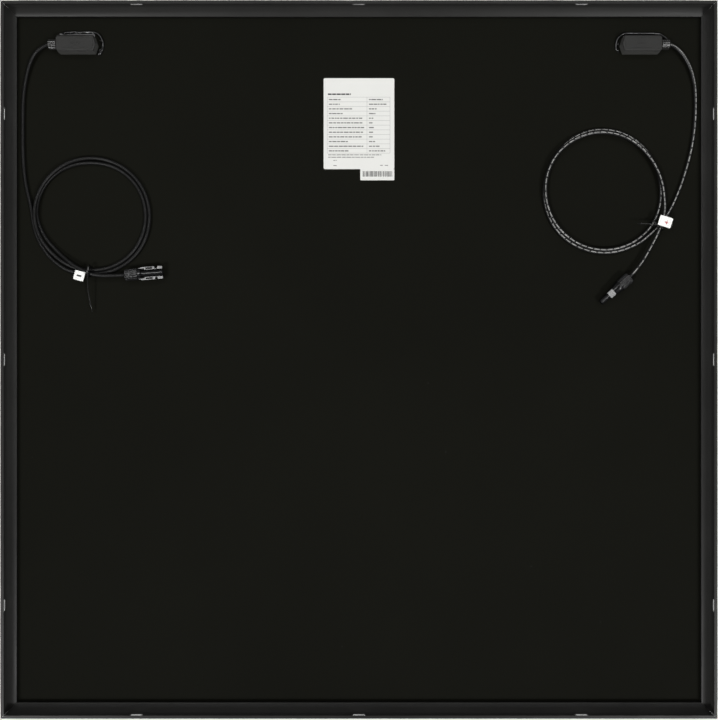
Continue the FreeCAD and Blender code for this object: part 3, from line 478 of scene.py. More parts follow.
class Finish:
    """A material put together round one Principled shader."""

    def __init__(self, name, **plain):
        self.material = bpy.data.materials.new(name)
        self.material.use_nodes = True
        self.tree = self.material.node_tree
        self.shader = self.tree.nodes["Principled BSDF"]
        self.place = self.tree.nodes.new("ShaderNodeTexCoord").outputs
        for socket, value in plain.items():
            self.shader.inputs[socket.replace("_", " ")].default_value = value
        FINISHES[name] = self.material

    def node(self, kind, inputs=None, **plain):
        return add_node(self.tree, kind, inputs, **plain)

    def effect(self, group, **inputs):
        named = {label.replace("_", " "): value for label, value in inputs.items()}
        return self.node("Group", {"Position": self.place["Object"], **named},
                         node_tree=GROUPS[group]).outputs

    def math(self, operation, first, second=0.0):
        return add_math(self.tree, operation, first, second)

    def axis(self, number, source="Object"):
        return self.node("SeparateXYZ", {0: self.place[source]}).outputs[number]

    def feed(self, output, socket="Base Color"):
        self.tree.links.new(output, self.shader.inputs[socket])

    def patches(self, scale, colour, other):
        """Two close colours in soft patches."""
        return self.effect("uneven", Scale=scale, Colour=colour, Other_colour=other)["Colour"]

    def surface(self, scale, low, high, depth=0.0, group="grain", **more):
        """Gloss that wanders between two roughnesses, over a relief of the same pattern."""
        pattern = self.effect(group, Scale=scale, Low=low, High=high, **more)
        self.feed(pattern["Value"], "Roughness")
        if depth:
            relief = self.node("Bump", {"Distance": depth, "Strength": 1.0, "Height": pattern["Height"]})
            self.feed(relief.outputs[0], "Normal")


def rgba(colour, factor=1.0):
    return tuple(min(1.0, c * factor) for c in colour) + (1.0,)


def moulded(name, colour, roughness, grain_scale=900.0, grain_depth=0.00003, contrast=0.2,
            patch_scale=25.0, **plain):
    """A moulded or cast surface: slightly uneven colour, fine grain in its gloss and height."""
    finish = Finish(name, **plain)
    finish.feed(finish.patches(patch_scale, rgba(colour, 1 - contrast), rgba(colour, 1 + contrast)))
    finish.surface(grain_scale, roughness * 0.88, min(1.0, roughness * 1.12), grain_depth)


def anodised(name, stretch):
    """Black anodised aluminium with drawing lines along the rail; painted light makes upright faces paler."""
    finish = Finish(name, Specular_IOR_Level=0.12)
    colour = settings("frame").colour
    patches = finish.patches(9.0, rgba(colour, 0.85), rgba(colour, 1.2))
    # Painted light: faces that do not face up get the paler wall colour.
    upwards = finish.math("MAXIMUM", finish.axis(2, "Normal"), 0.0)
    finish.feed(add_mix(finish.tree, upwards, rgba(settings("frame").painted_light_wall_colour), patches))
    finish.surface(700.0, 0.32, 0.42, 0.000002, "drawn", Stretch=stretch)


def encapsulant_finish():
    """Cast film that barely shows."""
    finish = Finish("clear_encapsulant", Roughness=0.2, IOR=1.48, Specular_IOR_Level=0.1)
    tint = (0.8, 0.82, 0.82)
    finish.feed(finish.patches(6.0, rgba(tint), rgba(tint, 1.1)))
    finish.feed(finish.effect("grain", Scale=300.0, Low=0.02, High=0.05)["Value"], "Alpha")


def backsheet_finish():
    """Black laminated film: matt, faintly pebbled, with a little dust."""
    colour = settings("frame").sheet_colour
    finish = Finish("black_backsheet", Specular_IOR_Level=0.05)
    patches = finish.patches(2.2, rgba(colour, 0.9), rgba(colour, 1.12))
    dust = finish.effect("specks", Scale=38.0, Size=0.035, Share=0.06)["Mask"]
    finish.feed(add_mix(finish.tree, dust, patches, (0.03, 0.03, 0.027, 1)))
    finish.surface(1400.0, 0.66, 0.8, 0.00002)


def cell_finish():
    """Monocrystalline silicon under fine printed fingers."""
    finish = Finish("solar_cells", Roughness=0.35, Specular_IOR_Level=0.6)
    patches = finish.patches(5.0, (0.004, 0.0055, 0.012, 1), (0.0055, 0.0075, 0.016, 1))
    along = finish.math("FRACT", finish.math("MULTIPLY", finish.axis(1), 700.0))
    finger = finish.math("LESS_THAN", along, 0.06)
    finish.feed(add_mix(finish.tree, finger, patches, (0.10, 0.105, 0.115, 1)))
    finish.surface(1500.0, 0.3, 0.42)


def glass_finish():
    """Solar glass with a faint prismatic surface; light passes it without a caustic's noise."""
    finish = Finish("front_glass", Roughness=0.06, IOR=1.5, Transmission_Weight=1.0)
    finish.feed(finish.patches(3.0, (0.93, 0.955, 0.95, 1), (0.96, 0.98, 0.975, 1)))
    finish.surface(650.0, 0.05, 0.09, 0.00001)
    shadow = finish.math("MULTIPLY", finish.node("LightPath").outputs["Is Shadow Ray"], 0.9)
    finish.feed(finish.math("SUBTRACT", 1.0, shadow), "Alpha")


def tinned_finish():
    """Tinned copper ribbon: soft bright metal with small ripples."""
    finish = Finish("tinned_copper", Metallic=1.0)
    finish.feed(finish.patches(60.0, (0.6, 0.6, 0.61, 1), (0.74, 0.74, 0.74, 1)))
    finish.surface(350.0, 0.28, 0.42, 0.0001)


def jacket_finish(name, roughness, dash_colour, level):
    """Cross-linked cable jacket with a row of plain printed dashes along its top."""
    dashes_per_lead, dash_share, top, half_height = 173.0, 0.75, 0.1875, 0.042
    colour = settings("lead").jacket_colour
    finish = Finish(name, Specular_IOR_Level=level)
    patches = finish.patches(45.0, rgba(colour, 0.8), rgba(colour, 1.3))
    run = finish.math("MULTIPLY", finish.axis(0, "UV"), dashes_per_lead)
    mark = finish.math("LESS_THAN", finish.math("FRACT", run), dash_share)
    drift = finish.math("MULTIPLY", finish.math("SINE", finish.math("MULTIPLY", run, 0.11)), 0.025)
    off_top = finish.math("SUBTRACT", finish.math("ADD", finish.axis(1, "UV"), drift), top)
    band = finish.math("LESS_THAN", finish.math("ABSOLUTE", off_top), half_height)
    worn = finish.patches(90.0, rgba(dash_colour, 0.45), rgba(dash_colour, 1.3))
    finish.feed(add_mix(finish.tree, finish.math("MULTIPLY", mark, band), patches, worn))
    finish.surface(1200.0, roughness * 0.9, roughness * 1.1, 0.00003)


def build_finishes():
    """Every finish, by the name of the record's slot or of the piece that wears it."""
    anodised("black_anodised_across", (0.02, 1.0, 1.0))
    anodised("black_anodised_down", (1.0, 0.02, 1.0))
    for finish in (glass_finish, encapsulant_finish, cell_finish, tinned_finish, backsheet_finish):
        finish()
    jacket_finish("cable_jacket", 0.42, (0.010, 0.010, 0.0095), 0.2)
    jacket_finish("cable_jacket_glossy", 0.32, (0.28, 0.28, 0.27), 0.34)
    moulded("corner_key_metal", (0.45, 0.45, 0.46), 0.45, 400.0, 0.0001, 0.08, Metallic=1.0)
    moulded("diode_plastic", (0.012, 0.012, 0.012), 0.45)
    moulded("seal_rubber", (0.015, 0.015, 0.015), 0.7, 600.0)
    moulded("clamp_plastic", (0.05, 0.05, 0.05), 0.5)
    moulded("tag_film", (0.91, 0.91, 0.885), 0.45, 300.0, 0.00005, 0.03)
    moulded("mark_black", (0.012, 0.012, 0.012), 0.5, 600.0, 0.00002, 0.2)
    moulded("mark_red", (0.42, 0.012, 0.02), 0.5, 600.0, 0.00002, 0.12)
    moulded("label_film", settings("label").paper_colour, 0.5, 700.0, 0.00002, 0.02, 12.0,
            Specular_IOR_Level=0.3)
    # Name, colour, roughness, the grain's scale and depth, contrast, shine.
    lid = settings("box").lid_colour
    for *look, shine in (
            ("edge_sealant", (0.006, 0.006, 0.006), 0.5, 250.0, 0.0002, 0.2, 0.4),
            ("black_silicone", (0.004, 0.004, 0.004), 0.09, 120.0, 0.0005, 0.2, 0.55),
            # Painted light: box_plastic is the lid's plastic made three times paler, so the base's side walls
            # look lit.
            ("box_plastic", rgba(lid, 3.0)[:3], 0.5, 1300.0, 0.00005, 0.1, 0.3),
            ("gland_plastic", rgba(lid, 0.6)[:3], 0.24, 900.0, 0.00005, 0.15, 0.5),
            ("lid_plastic", lid, 0.55, 1300.0, 0.00006, 0.08, 0.25),
            ("tie_nylon", (0.005, 0.005, 0.005), 0.3, 500.0, 0.00004, 0.15, 0.35),
            ("connector_plastic", (0.005, 0.005, 0.0055), 0.16, 1100.0, 0.00001, 0.2, 0.32),
            ("nut_plastic", (0.006, 0.006, 0.0065), 0.22, 1100.0, 0.00005, 0.2, 0.55),
            # window_shade: near-black patches that paint shade on the connector's latch arms.
            ("window_shade", (0.003, 0.003, 0.003), 0.7, 900.0, 0.00003, 0.2, 0.1),
            ("print_dark", (0.02, 0.02, 0.022), 0.55, 900.0, 0.00001, 0.2, 0.3),
            ("print_grey", (0.17, 0.17, 0.165), 0.6, 900.0, 0.00001, 0.15, 0.3),
            ("print_rule", (0.42, 0.42, 0.41), 0.6, 900.0, 0.00001, 0.1, 0.3)):
        moulded(*look, Specular_IOR_Level=shine)


NODE_FINISHES = [
    ("corner_key_", "corner_key_metal"), ("frame_sealant", "edge_sealant"),
    ("cover_glass", "front_glass"), ("front_encapsulant", "clear_encapsulant"),
    ("back_encapsulant", "clear_encapsulant"), ("cell_string_", "solar_cells"),
    ("ribbon", "tinned_copper"), ("terminals", "tinned_copper"), ("contact", "tinned_copper"),
    ("backsheet", "black_backsheet"), ("adhesive", "black_silicone"), ("box_base", "box_plastic"),
    ("gland", "box_plastic"), ("box_lid", "lid_plastic"), ("diode", "diode_plastic"),
    ("gasket", "seal_rubber"), ("seal", "seal_rubber"), ("clamp", "clamp_plastic"),
    ("tie", "tie_nylon"), ("tag", "tag_film"), ("nut", "nut_plastic"),
    ("housing", "connector_plastic"), ("label", "label_film"), ("cable", "cable_jacket"),
    ("frame_rail_top", "black_anodised_across"), ("frame_rail_bottom", "black_anodised_across"),
    ("frame_rail", "black_anodised_down"),
]


def dress_nodes():
    """Give every CAD node the finish of its kind, shown or not."""
    for name, node in NODES.items():
        finish = next(f for part, f in NODE_FINISHES if part in name)
        if not node.material_slots:
            node.data.materials.append(FINISHES[finish])
        for slot in node.material_slots:
            slot.material = FINISHES[finish]


# ---------------------------------------------------------------- stage
def build_camera():
    stage = settings("stage")
    data = bpy.data.cameras.new("camera")
    data.sensor_width = 36
    data.lens = stage.lens
    data.clip_start = 0.05
    camera = link_new("camera", data)
    camera.location = (0.00004, -0.00057, stage.camera_height)
    bpy.context.scene.camera = camera


def area_lamp(name, place, aim, size, power):
    data = bpy.data.lights.new(name, "AREA")
    data.shape = "RECTANGLE"
    data.size, data.size_y = size
    data.energy = power
    lamp = link_new(name, data)
    lamp.location = place
    lamp.rotation_mode = "QUATERNION"
    lamp.rotation_quaternion = (Vector(aim) - Vector(place)).to_track_quat("-Z", "Y")


def build_lamps():
    """Two main lamps, two small ones overhead, and pale cards beyond the top edge and the sides."""
    stage = settings("stage")
    main, spot, side_card = stage.main_power, stage.spot_power, stage.side_card_power
    for name, out in (("main_left", -1), ("main_right", 1)):
        area_lamp(name, (5 * out, -5, 9.2), (0, 0.2, 0), (2.2, 1.7), main)
    area_lamp("small_left", (-0.92, 0.37, 2.5), (-0.32, 0.13, 0), (0.3, 0.25), spot)
    area_lamp("small_right", (1.08, 0.29, 2.5), (0.37, 0.1, 0), (0.3, 0.25), spot * 0.9)
    area_lamp("card", (0, 1.6, 2.6), (0, 1.4, 0), (4.4, 0.8), stage.card_power)
    for name, out, power in (("card_left", -1, side_card), ("card_right", 1, side_card * 1.15)):
        area_lamp(name, (1.8 * out, -0.3, 2.6), (1.8 * out, -0.3, 0), (1.2, 3.0), power)


def build_room():
    """A dim room, pale only along the horizon."""
    world = bpy.data.worlds.new("room")
    bpy.context.scene.world = world
    world.use_nodes = True
    tree = world.node_tree
    way = add_node(tree, "TexCoord").outputs["Generated"]
    ramp = add_node(tree, "ValToRGB", {0: add_node(tree, "SeparateXYZ", {0: way}).outputs[2]})
    shades = ((0.02, 0.88), (0.2, 0.3), (0.45, 0.1), (0.9, 0.05))
    while len(ramp.color_ramp.elements) < len(shades):
        ramp.color_ramp.elements.new(0.5)
    for element, (height, pale) in zip(ramp.color_ramp.elements, shades):
        element.position = height
        element.color = (pale, pale, pale * 0.99, 1)
    tree.links.new(ramp.outputs[0], tree.nodes["Background"].inputs["Color"])


def floor_finish():
    """Pale and matt, an even pale far out wherever it is seen, and clear to a camera underneath."""
    near, far = 0.8, 1.7
    colour = settings("stage").floor_colour
    finish = Finish("floor", Specular_IOR_Level=0.2)
    finish.feed(finish.patches(1.5, rgba(colour, 0.99), rgba(colour, 1.01)))
    finish.surface(200.0, 0.75, 0.9)
    rays = finish.node("LightPath").outputs
    seen = finish.math("MAXIMUM", rays["Is Camera Ray"], rays["Is Glossy Ray"])
    seen = finish.math("MAXIMUM", seen, rays["Is Transmission Ray"])
    distance = finish.node("VectorMath", {0: finish.place["Object"]}, operation="LENGTH")
    bright = add_range(finish.tree, distance.outputs["Value"], 0.0, 1.0, near, far)
    pale = finish.node("Emission", {"Color": rgba(colour)})
    away = finish.node("MixShader", {0: finish.math("MULTIPLY", seen, bright),
                                     1: finish.shader.outputs[0], 2: pale.outputs[0]})
    under = finish.node("NewGeometry").outputs["Backfacing"]
    blend = finish.node("MixShader", {0: finish.math("MULTIPLY", under, rays["Is Camera Ray"]),
                                      1: away.outputs[0], 2: finish.node("BsdfTransparent").outputs[0]})
    finish.tree.links.new(blend.outputs[0], finish.tree.nodes["Material Output"].inputs["Surface"])
    return finish.material


def build_floor():
    """A plain floor with a hole under the panel's glass, so that the front can be seen from below."""
    opening, half, level = 0.528, 6.0, -0.0005
    floor = primitive(bpy.ops.mesh.primitive_plane_add, size=half * 2, location=(0, 0, level))
    floor.name = "floor"
    choose(floor, "polygons", lambda face: True)
    bpy.ops.mesh.inset(thickness=half - opening, use_even_offset=True)
    bpy.ops.mesh.delete(type="FACE")
    leave_edit()
    floor.data.materials.append(floor_finish())


# ---------------------------------------------------------------- frame and laminate
def off_mitre(edge, vertices):
    """How much an edge is softened: not at all where two rails meet."""
    half_width, half_height = CAD_BOX[1][0], CAD_BOX[1][1]
    ends = [vertices[i].co for i in edge.vertices]
    meeting = all(abs((abs(end.x) - half_width) - (abs(end.y) - half_height)) < 0.3 * MM for end in ends)
    return 0.0 if meeting else 1.0


def build_rails():
    edge = settings("frame").edge
    for place, kind in (("top", "across"), ("bottom", "across"), ("left", "down"), ("right", "down")):
        node = "frame_rail_" + place
        rail = rounded_copy(node, node + "_finished", edge, keep=off_mitre)
        hand_over(rail, PANEL_BODY, "black_anodised_frame", "black_anodised_" + kind, node)


def build_cell_wires():
    """The thin round wires that join the cells of each string, seen through the glass."""
    count = settings("frame").wires_per_cell
    radius, overhang, sunk = 0.16 * MM, 6 * MM, 0.12 * MM
    wires = []
    for number in range(1, STRINGS + 1):
        low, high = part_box(f"cell_string_{number}")
        pitch = (high.x - low.x) / count
        for index in range(count):
            x = low.x + pitch * (index + 0.5)
            if wires:
                twin = link_new("wire", wires[0].data.copy())
                wires.append(move_mesh(twin, Matrix.Translation((x - first_x, 0, 0))))
                continue
            first_x = x
            wires.append(shade(primitive(
                bpy.ops.mesh.primitive_cylinder_add, vertices=8, radius=radius,
                depth=high.y - low.y + overhang,
                location=(x, (low.y + high.y) / 2, low.z - sunk), rotation=(math.pi / 2, 0, 0))))
    hand_over(joined("cell_wires", wires), PANEL_BODY, "tinned_copper", "tinned_copper")


# ---------------------------------------------------------------- junction boxes
def slope_lid(lid, drop, insets):
    """Lay the top's rounded rim back into a slope: its breadth at the ends, at the frame, at the middle."""
    top = max(v.co.z for v in lid.data.vertices if v.co.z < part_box("minus_box_lid")[1].z - 0.3 * MM)
    low = Vector([min(v.co[axis] for v in lid.data.vertices) for axis in range(3)])
    high = Vector([max(v.co[axis] for v in lid.data.vertices) for axis in range(3)])
    middle, half = (low + high) / 2, (high - low) / 2
    rim = 0.8 * MM
    for vertex in lid.data.vertices:
        rise = (vertex.co.z - (top - rim)) / rim
        away = Vector((abs(vertex.co.x - middle.x) - half.x, abs(vertex.co.y - middle.y) - half.y))
        if not 0 <= rise <= 1.01 or max(away) < -2 * MM:
            continue
        vertex.co.z = top - drop * (1 - rise)
        for axis in (0, 1):
            inset = insets[0] if axis == 0 else insets[1 if vertex.co.y > middle.y else 2]
            narrowed = (half[axis] - inset * rise) / (half[axis] - rim * rise)
            vertex.co[axis] = middle[axis] + (vertex.co[axis] - middle[axis]) * narrowed
    lid.data.update()


def build_box(side):
    """A box's base, its lid with a sloped rim, and the ribs and rings on the lid."""
    # Part, body, slot, and how much and beyond what angle its edges are softened.
    for part, body, slot, share, angle in (("box_base", PANEL_BODY, "box_plastic", 1.0, 32),
                                           ("box_lid", side + "_lid", "lid_plastic", 0.3, 60)):
        node = f"{side}_{part}"
        piece = rounded_copy(node, node + "_finished", settings("box").edge * share, 2, angle)
        if part == "box_lid":
            slope_lid(piece, 2.1 * MM, (1.4 * MM, 2.0 * MM, 2.2 * MM))
            flatten_shading(shade(piece, 20))
        hand_over(piece, body, slot, slot, node)
    low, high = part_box(side + "_box_lid")
    middle = (low + high) / 2
    rib_half, rib_rise, ring_pitch = 0.45 * MM, 0.35 * MM, 5.2 * MM
    ribs = []
    for level in (-7.2, 7.2):
        y = middle.y + level * MM
        ribs.append(block("rib", (middle.x - 19 * MM, y - rib_half, high.z - 0.05 * MM),
                          (middle.x + 17 * MM, y + rib_half, high.z + rib_rise), 0.18 * MM))
    for index in (-1, 0, 1):
        ribs.append(shade(primitive(
            bpy.ops.mesh.primitive_torus_add, major_radius=1.7 * MM, minor_radius=0.28 * MM,
            major_segments=32, minor_segments=8,
            location=(middle.x + index * ring_pitch, middle.y, high.z + 0.02 * MM))))
    hand_over(joined(side + "_lid_ribs", ribs), side + "_lid", "lid_plastic", "lid_plastic")


def build_gland(side):
    """A ribbed grip round the lead, then a taper: turned about the lead's axis."""
    low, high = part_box(side + "_cable_gland")
    out = LEADS[side]["out"]
    face = high.x if out < 0 else low.x
    centre = (low + high) / 2
    radius, length = (high.z - low.z) / 2, high.x - low.x
    grip, groove, sides = length - 2 * MM, 0.9, 48
    body = primitive(bpy.ops.mesh.primitive_cylinder_add, vertices=sides, radius=radius, depth=grip)
    for index, vertex in enumerate(body.data.vertices):
        if (index // 2) % 4 == 3:
            vertex.co.x *= groove
            vertex.co.y *= groove
    soften(body, 0.35 * MM, 2, 25)
    taper = primitive(bpy.ops.mesh.primitive_cone_add, vertices=sides, radius1=radius * 0.86,
                      radius2=radius * 0.7, depth=length - grip + 0.6 * MM)
    move_mesh(soften(taper, 0.5 * MM), Matrix.Translation((0, 0, length / 2 - 0.3 * MM)))
    collar = primitive(bpy.ops.mesh.primitive_cylinder_add, vertices=sides, radius=radius * 0.92,
                       depth=1.6 * MM)
    move_mesh(soften(collar, 0.3 * MM), Matrix.Translation((0, 0, -grip / 2 + 0.8 * MM)))
    piece = joined(side + "_gland", [body, taper, collar])
    turn = rotation(90 * out, "Y")
    move_mesh(piece, Matrix.Translation((face + out * grip / 2, centre.y, centre.z)) @ turn)
    hand_over(piece, PANEL_BODY, "box_plastic", "gland_plastic", side + "_cable_gland")


def build_bead(side):
    """A hand-laid bead of silicone round the box's foot, thicker and thinner along its way."""
    low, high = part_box(side + "_box_base")
    out = LEADS[side]["out"]
    middle = (low + high) / 2
    radius = settings("box").bead_radius
    # Places round the foot: x towards the gland, y towards the frame, both from the box's middle.
    if side == "minus":
        route = [(26, 20.4), (20, 20.8), (13, 21.6), (5.6, 22.2), (-1, 21.4), (-8, 21.7), (-16, 21.4),
                 (-23.4, 21.8), (-29.5, 19), (-33.6, 14.4), (-36.4, 8), (-37, 1), (-35.6, -5), (-32.8, -10.4),
                 (-28.5, -13.6)]
    else:
        route = [(48.3, 2.3), (45.6, 7.2), (42, 11.6), (37, 15.2), (30.4, 19), (22, 20.1), (12, 19.9),
                 (3, 20.4), (-6, 19.8), (-15, 20.2), (-22, 19.6), (-28, 16.8), (-32.6, 11.8), (-35, 5.4),
                 (-35.6, -1), (-33.6, -6.8)]
    rng = random.Random(11 if side == "minus" else 23)
    places = [route[0]]
    for before, after in zip(route, route[1:]):
        places += [((before[0] + after[0]) / 2, (before[1] + after[1]) / 2), after]
    bead = tube(side + "_silicone", [
        (middle.x + out * x * MM, middle.y + (y + rng.uniform(-0.5, 0.5)) * MM,
         SHEET_TOP + rng.uniform(0.2, 0.6) * MM, radius * rng.uniform(0.82, 1.06)) for x, y in places],
        radius=1.0, roundness=5, order=4, steps=10)
    points = bead.data.splines[0].points
    points[0].radius = points[-1].radius = radius * 0.3
    pick(bead)
    bpy.ops.object.convert(target="MESH")
    bead = bpy.context.object
    foot = block("foot", (low.x + (1 if out < 0 else 6) * MM, low.y + 1 * MM, SHEET_TOP),
                 (high.x - (6 if out < 0 else 1) * MM, high.y + 8 * MM, SHEET_TOP + 0.78 * MM), 0.35 * MM)
    lumps = []
    for _ in range(7):
        size = rng.uniform(1.4, 2.4) * MM
        lumps.append(primitive(
            bpy.ops.mesh.primitive_ico_sphere_add, subdivisions=2, radius=1,
            scale=(size, size * rng.uniform(0.7, 1.3), size * 0.6),
            location=(middle.x + out * rng.uniform(-34, -31) * MM,
                      middle.y + rng.uniform(-10, 10) * MM, SHEET_TOP)))
    piece = joined(side + "_silicone_bead", [bead, foot, *lumps])
    for vertex in piece.data.vertices:
        vertex.co.z = max(vertex.co.z, SHEET_TOP + 0.01 * MM)
    shade(piece, 50)
    hand_over(piece, PANEL_BODY, "black_silicone", "black_silicone", side + "_box_adhesive")


# ---------------------------------------------------------------- leads
def from_mouth(side, x, y, lift):
    """A route point in metres, from its millimetres from the gland's mouth."""
    low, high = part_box(side + "_cable_gland")
    mouth = low.x if LEADS[side]["out"] < 0 else high.x
    return Vector((mouth + x * MM, (low.y + high.y) / 2 + y * MM, SHEET_TOP + (LYING_HEIGHT + lift) * MM))


def coil_turns(side):
    """The coil's own points, one each coil_step degrees, between the rows of its table."""
    lead = LEADS[side]
    swept, radii, lifts = zip(*lead["coil"])
    reach = 1 / math.cos(math.radians(lead["coil_step"] / 2))
    for index in range(lead["coil_points"]):
        turned = index * lead["coil_step"]
        angle = math.radians(lead["coil_from"] + lead["way"] * turned)
        radius = float(np.interp(turned, swept, radii)) * reach
        yield (lead["coil_centre"][0] + radius * math.cos(angle),
               lead["coil_centre"][1] + radius * math.sin(angle),
               float(np.interp(turned, swept, lifts)))


def build_cable(side):
    lead = LEADS[side]
    points = [from_mouth(side, *p) for p in [*lead["feed"], *coil_turns(side), *lead["tail"]]]
    cable = tube(side + "_cable", [(*place, 1.0) for place in points], settings("lead").diameter / 2,
                 roundness=6, order=3, steps=8)
    cable.data.twist_mode = "Z_UP"
    jacket = "cable_jacket" if side == "minus" else "cable_jacket_glossy"
    hand_over(cable, PANEL_BODY, "cable_jacket", jacket,
              side + "_cable_feed", side + "_cable_coil", side + "_cable_tail")
    return cable, points


def on_coil(side, angle):
    """A frame at the coil's centre, turned so that X points to an angle."""
    centre = from_mouth(side, *LEADS[side]["coil_centre"], -LYING_HEIGHT)
    return Matrix.Translation(centre) @ rotation(angle, "Z")


def build_strap(side, half, thick, edge_on):
    """A tie's loose end along X: bowed in the middle, its tip narrowed and turned back to lie flat."""
    length = LEADS[side]["strap_length"] * MM
    steps = 24
    strap = block("strap", (0, -half, -thick / 2), (length, half, thick / 2))
    choose_edges(strap, 0, length / 2)
    bpy.ops.mesh.subdivide(number_cuts=steps - 1)
    leave_edit()
    bend, rise, tip = (0.02 if side == "minus" else 0.0), 0.03, 0.93
    for vertex in strap.data.vertices:
        along = vertex.co.x / length
        if along > tip:
            vertex.co.y *= 1 - (along - tip) * 8
        untwist = Matrix.Rotation(math.radians(-edge_on) * max(0.0, min(1.0, along * 12 - 10.8)), 4, "X")
        vertex.co = untwist @ vertex.co
        vertex.co.y += bend * length * math.sin(math.pi * along)
        vertex.co.z += rise * length * math.sin(math.pi * along)
    return soften(strap, 0.2 * MM, 2, 40)


def build_tie(side):
    """A nylon tie: a rounded loop round the bundle, its head on top and its loose end."""
    lead = LEADS[side]
    strap_half, thick = 1.3 * MM, 1.1 * MM
    low, high = 0.1 * MM, 15.1 * MM
    inner, outer = lead["tie_inner"] * MM - thick, lead["tie_outer"] * MM + thick
    loop = block("loop", (inner, -strap_half, low), (outer, strap_half, high))
    choose(loop, "polygons", lambda face: abs(face.normal.y) > 0.5)
    bpy.ops.mesh.delete(type="FACE")
    leave_edit()
    choose_edges(loop, 1, strap_half)
    bpy.ops.mesh.bevel(offset=4.2 * MM, segments=6)
    leave_edit()
    soften(thicken(loop, thick), 0.25 * MM, 2, 50)
    # The lip on the head leans a little towards the lamps.
    start, length, half, rise = lead["head_place"] * MM, 5 * MM, 2.4 * MM, 4 * MM
    head = block("head", (start, -half, high), (start + length, half, high + rise), 0.7 * MM, 3)
    lip = block("head_lip", (start + 1.4 * MM, -1.6 * MM, high + rise - 0.2 * MM),
                (start + 3.6 * MM, 1.6 * MM, high + rise + 0.4 * MM), 0.15 * MM)
    hinge = Matrix.Translation((start + length / 2, 0, high + rise + 0.1 * MM))
    move_mesh(lip, hinge @ rotation(-3, "X") @ hinge.inverted())
    edge_on = 80
    strap = build_strap(side, strap_half, thick, edge_on)
    turn = rotation(lead["strap_turn"], "Z") @ rotation(lead["strap_drop"], "Y") @ rotation(edge_on, "X")
    move_mesh(strap, Matrix.Translation((start + length / 2, 0, high + rise / 2)) @ turn)
    piece = joined(side + "_tie", [loop, head, lip, strap])
    move_mesh(piece, on_coil(side, lead["tie_angle"]))
    return hand_over(piece, PANEL_BODY, "tie_nylon", "tie_nylon", side + "_cable_tie")


def build_tag(side):
    """A small white flag, slightly curled, with its polarity mark."""
    lead = LEADS[side]
    width, depth = (v * MM for v in lead["tag_size"])
    tag = primitive(bpy.ops.mesh.primitive_grid_add, x_subdivisions=14, y_subdivisions=14, size=1)
    move_mesh(tag, Matrix.Diagonal((width, depth, 1, 1)))
    for vertex in tag.data.vertices:
        x, y = vertex.co.x / width * 2, vertex.co.y / depth * 2
        corner = max(0.0, abs(x) + abs(y) - 1.7)
        vertex.co.x *= 1 - corner * 0.08
        vertex.co.y *= 1 - corner * 0.08
        vertex.co.z = -0.5 * MM * x * x
    shade(thicken(tag, 0.45 * MM), 50)
    bars = [(3.5, 1.2, 0.12)] if side == "minus" else [(2.9, 0.55, 0.11), (0.55, 2.9, 0.12)]
    marks = [block("bar", (-across * MM, -down * MM, 0.005 * MM), (across * MM, down * MM, rise * MM))
             for across, down, rise in bars]
    mark = joined(side + "_tag_mark", marks)
    centre = from_mouth(side, *lead["tag_centre"], lead["tag_level"] + 0.5 - LYING_HEIGHT)
    place = Matrix.Translation(centre) @ rotation(lead["tag_turn"], "Z")
    tag.name = side + "_tag"
    if side == "plus":
        move_mesh(mark, Matrix.Translation((2 * MM, -0.9 * MM, 0)))
    for piece in (tag, mark):
        move_mesh(piece, place)
    hand_over(tag, PANEL_BODY, "tag_film", "tag_film", side + "_polarity_tag")
    hand_over(mark, PANEL_BODY, "tag_film", "mark_black" if side == "minus" else "mark_red")
    return tag, mark


def build_connector(side):
    edge = settings("lead").connector_edge
    pieces = []
    for part, body, finish in (("cap_nut", side + "_nut", "nut_plastic"),
                               ("connector_housing", PANEL_BODY, "connector_plastic")):
        node = f"{side}_{part}"
        piece = rounded_copy(node, node + "_finished", edge, 2, 40)
        pieces.append(hand_over(piece, body, "connector_plastic", finish, node))
    if side == "minus":
        pieces.append(build_latch_painted_shade(side))
    return pieces


def build_latch_painted_shade(side):
    """Painted shade: dark patches on top of the two latch arms, over the windows, notches and roots."""
    lead = LEADS[side]
    before, end = (Vector(point[:2]) for point in lead["tail"][-2:])
    way = (end - before).normalized()
    start = end - way * CABLE_INSERTION
    low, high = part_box(side + "_connector_housing")
    top = (low.z + high.z) / 2 + 3.5 * MM
    patches = []
    for hand in (-1, 1):
        # Painted shade patches: place along, length, inner and outer side, in millimetres.
        for along, length, inner, outer in ((22.6, 7.8, 5.6, 7.6), (32.2, 10.2, 6.4, 8.7),
                                            (46.2, 3.8, 6.2, 8.3)):
            near, far = sorted((hand * inner, hand * outer))
            patches.append(block("patch", (along * MM, near * MM, 0.005 * MM),
                                 ((along + length) * MM, far * MM, 0.05 * MM)))
    piece = joined(side + "_latch_windows", patches)
    middle = from_mouth(side, start.x, start.y, -LYING_HEIGHT)
    move_mesh(piece, Matrix.Translation((middle.x, middle.y, top))
              @ Matrix.Rotation(math.atan2(way.y, way.x), 4, "Z"))
    return hand_over(piece, PANEL_BODY, "connector_plastic", "window_shade")


def build_lead(side):
    cable, points = build_cable(side)
    with_cable = [build_tie(side), *build_tag(side), *build_connector(side)]
    settings("lead").diameter


# ---------------------------------------------------------------- labels
def flat_bars(name, bars, low, high, finish):
    """Thin printed bars (x, y, width, depth) joined into one piece."""
    pieces = [block("bar", (x, y, low), (x + width, y + depth, high)) for x, y, width, depth in bars]
    hand_over(joined(name, pieces), PANEL_BODY, "label_film", finish)


def words(rng, x, y, length, height):
    """A plain row of bars, as long as a few words."""
    bars = []
    end = x + length
    while x < end - 1.2 * MM:
        width = min(rng.uniform(2.6, 7.5) * MM, end - x)
        bars.append((x, y, width, height))
        x += width + rng.uniform(0.7, 1.2) * MM
    return bars


def sticker(name, node, corner):
    """A label with rounded corners in a CAD node's place."""
    low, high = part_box(node)
    piece = block(name, low, high)
    choose_edges(piece, 2, 0.05 * MM)
    bpy.ops.mesh.bevel(offset=corner, segments=5)
    leave_edit()
    hand_over(soften(piece, 0.03 * MM, 1), PANEL_BODY, "label_film", "label_film", node)


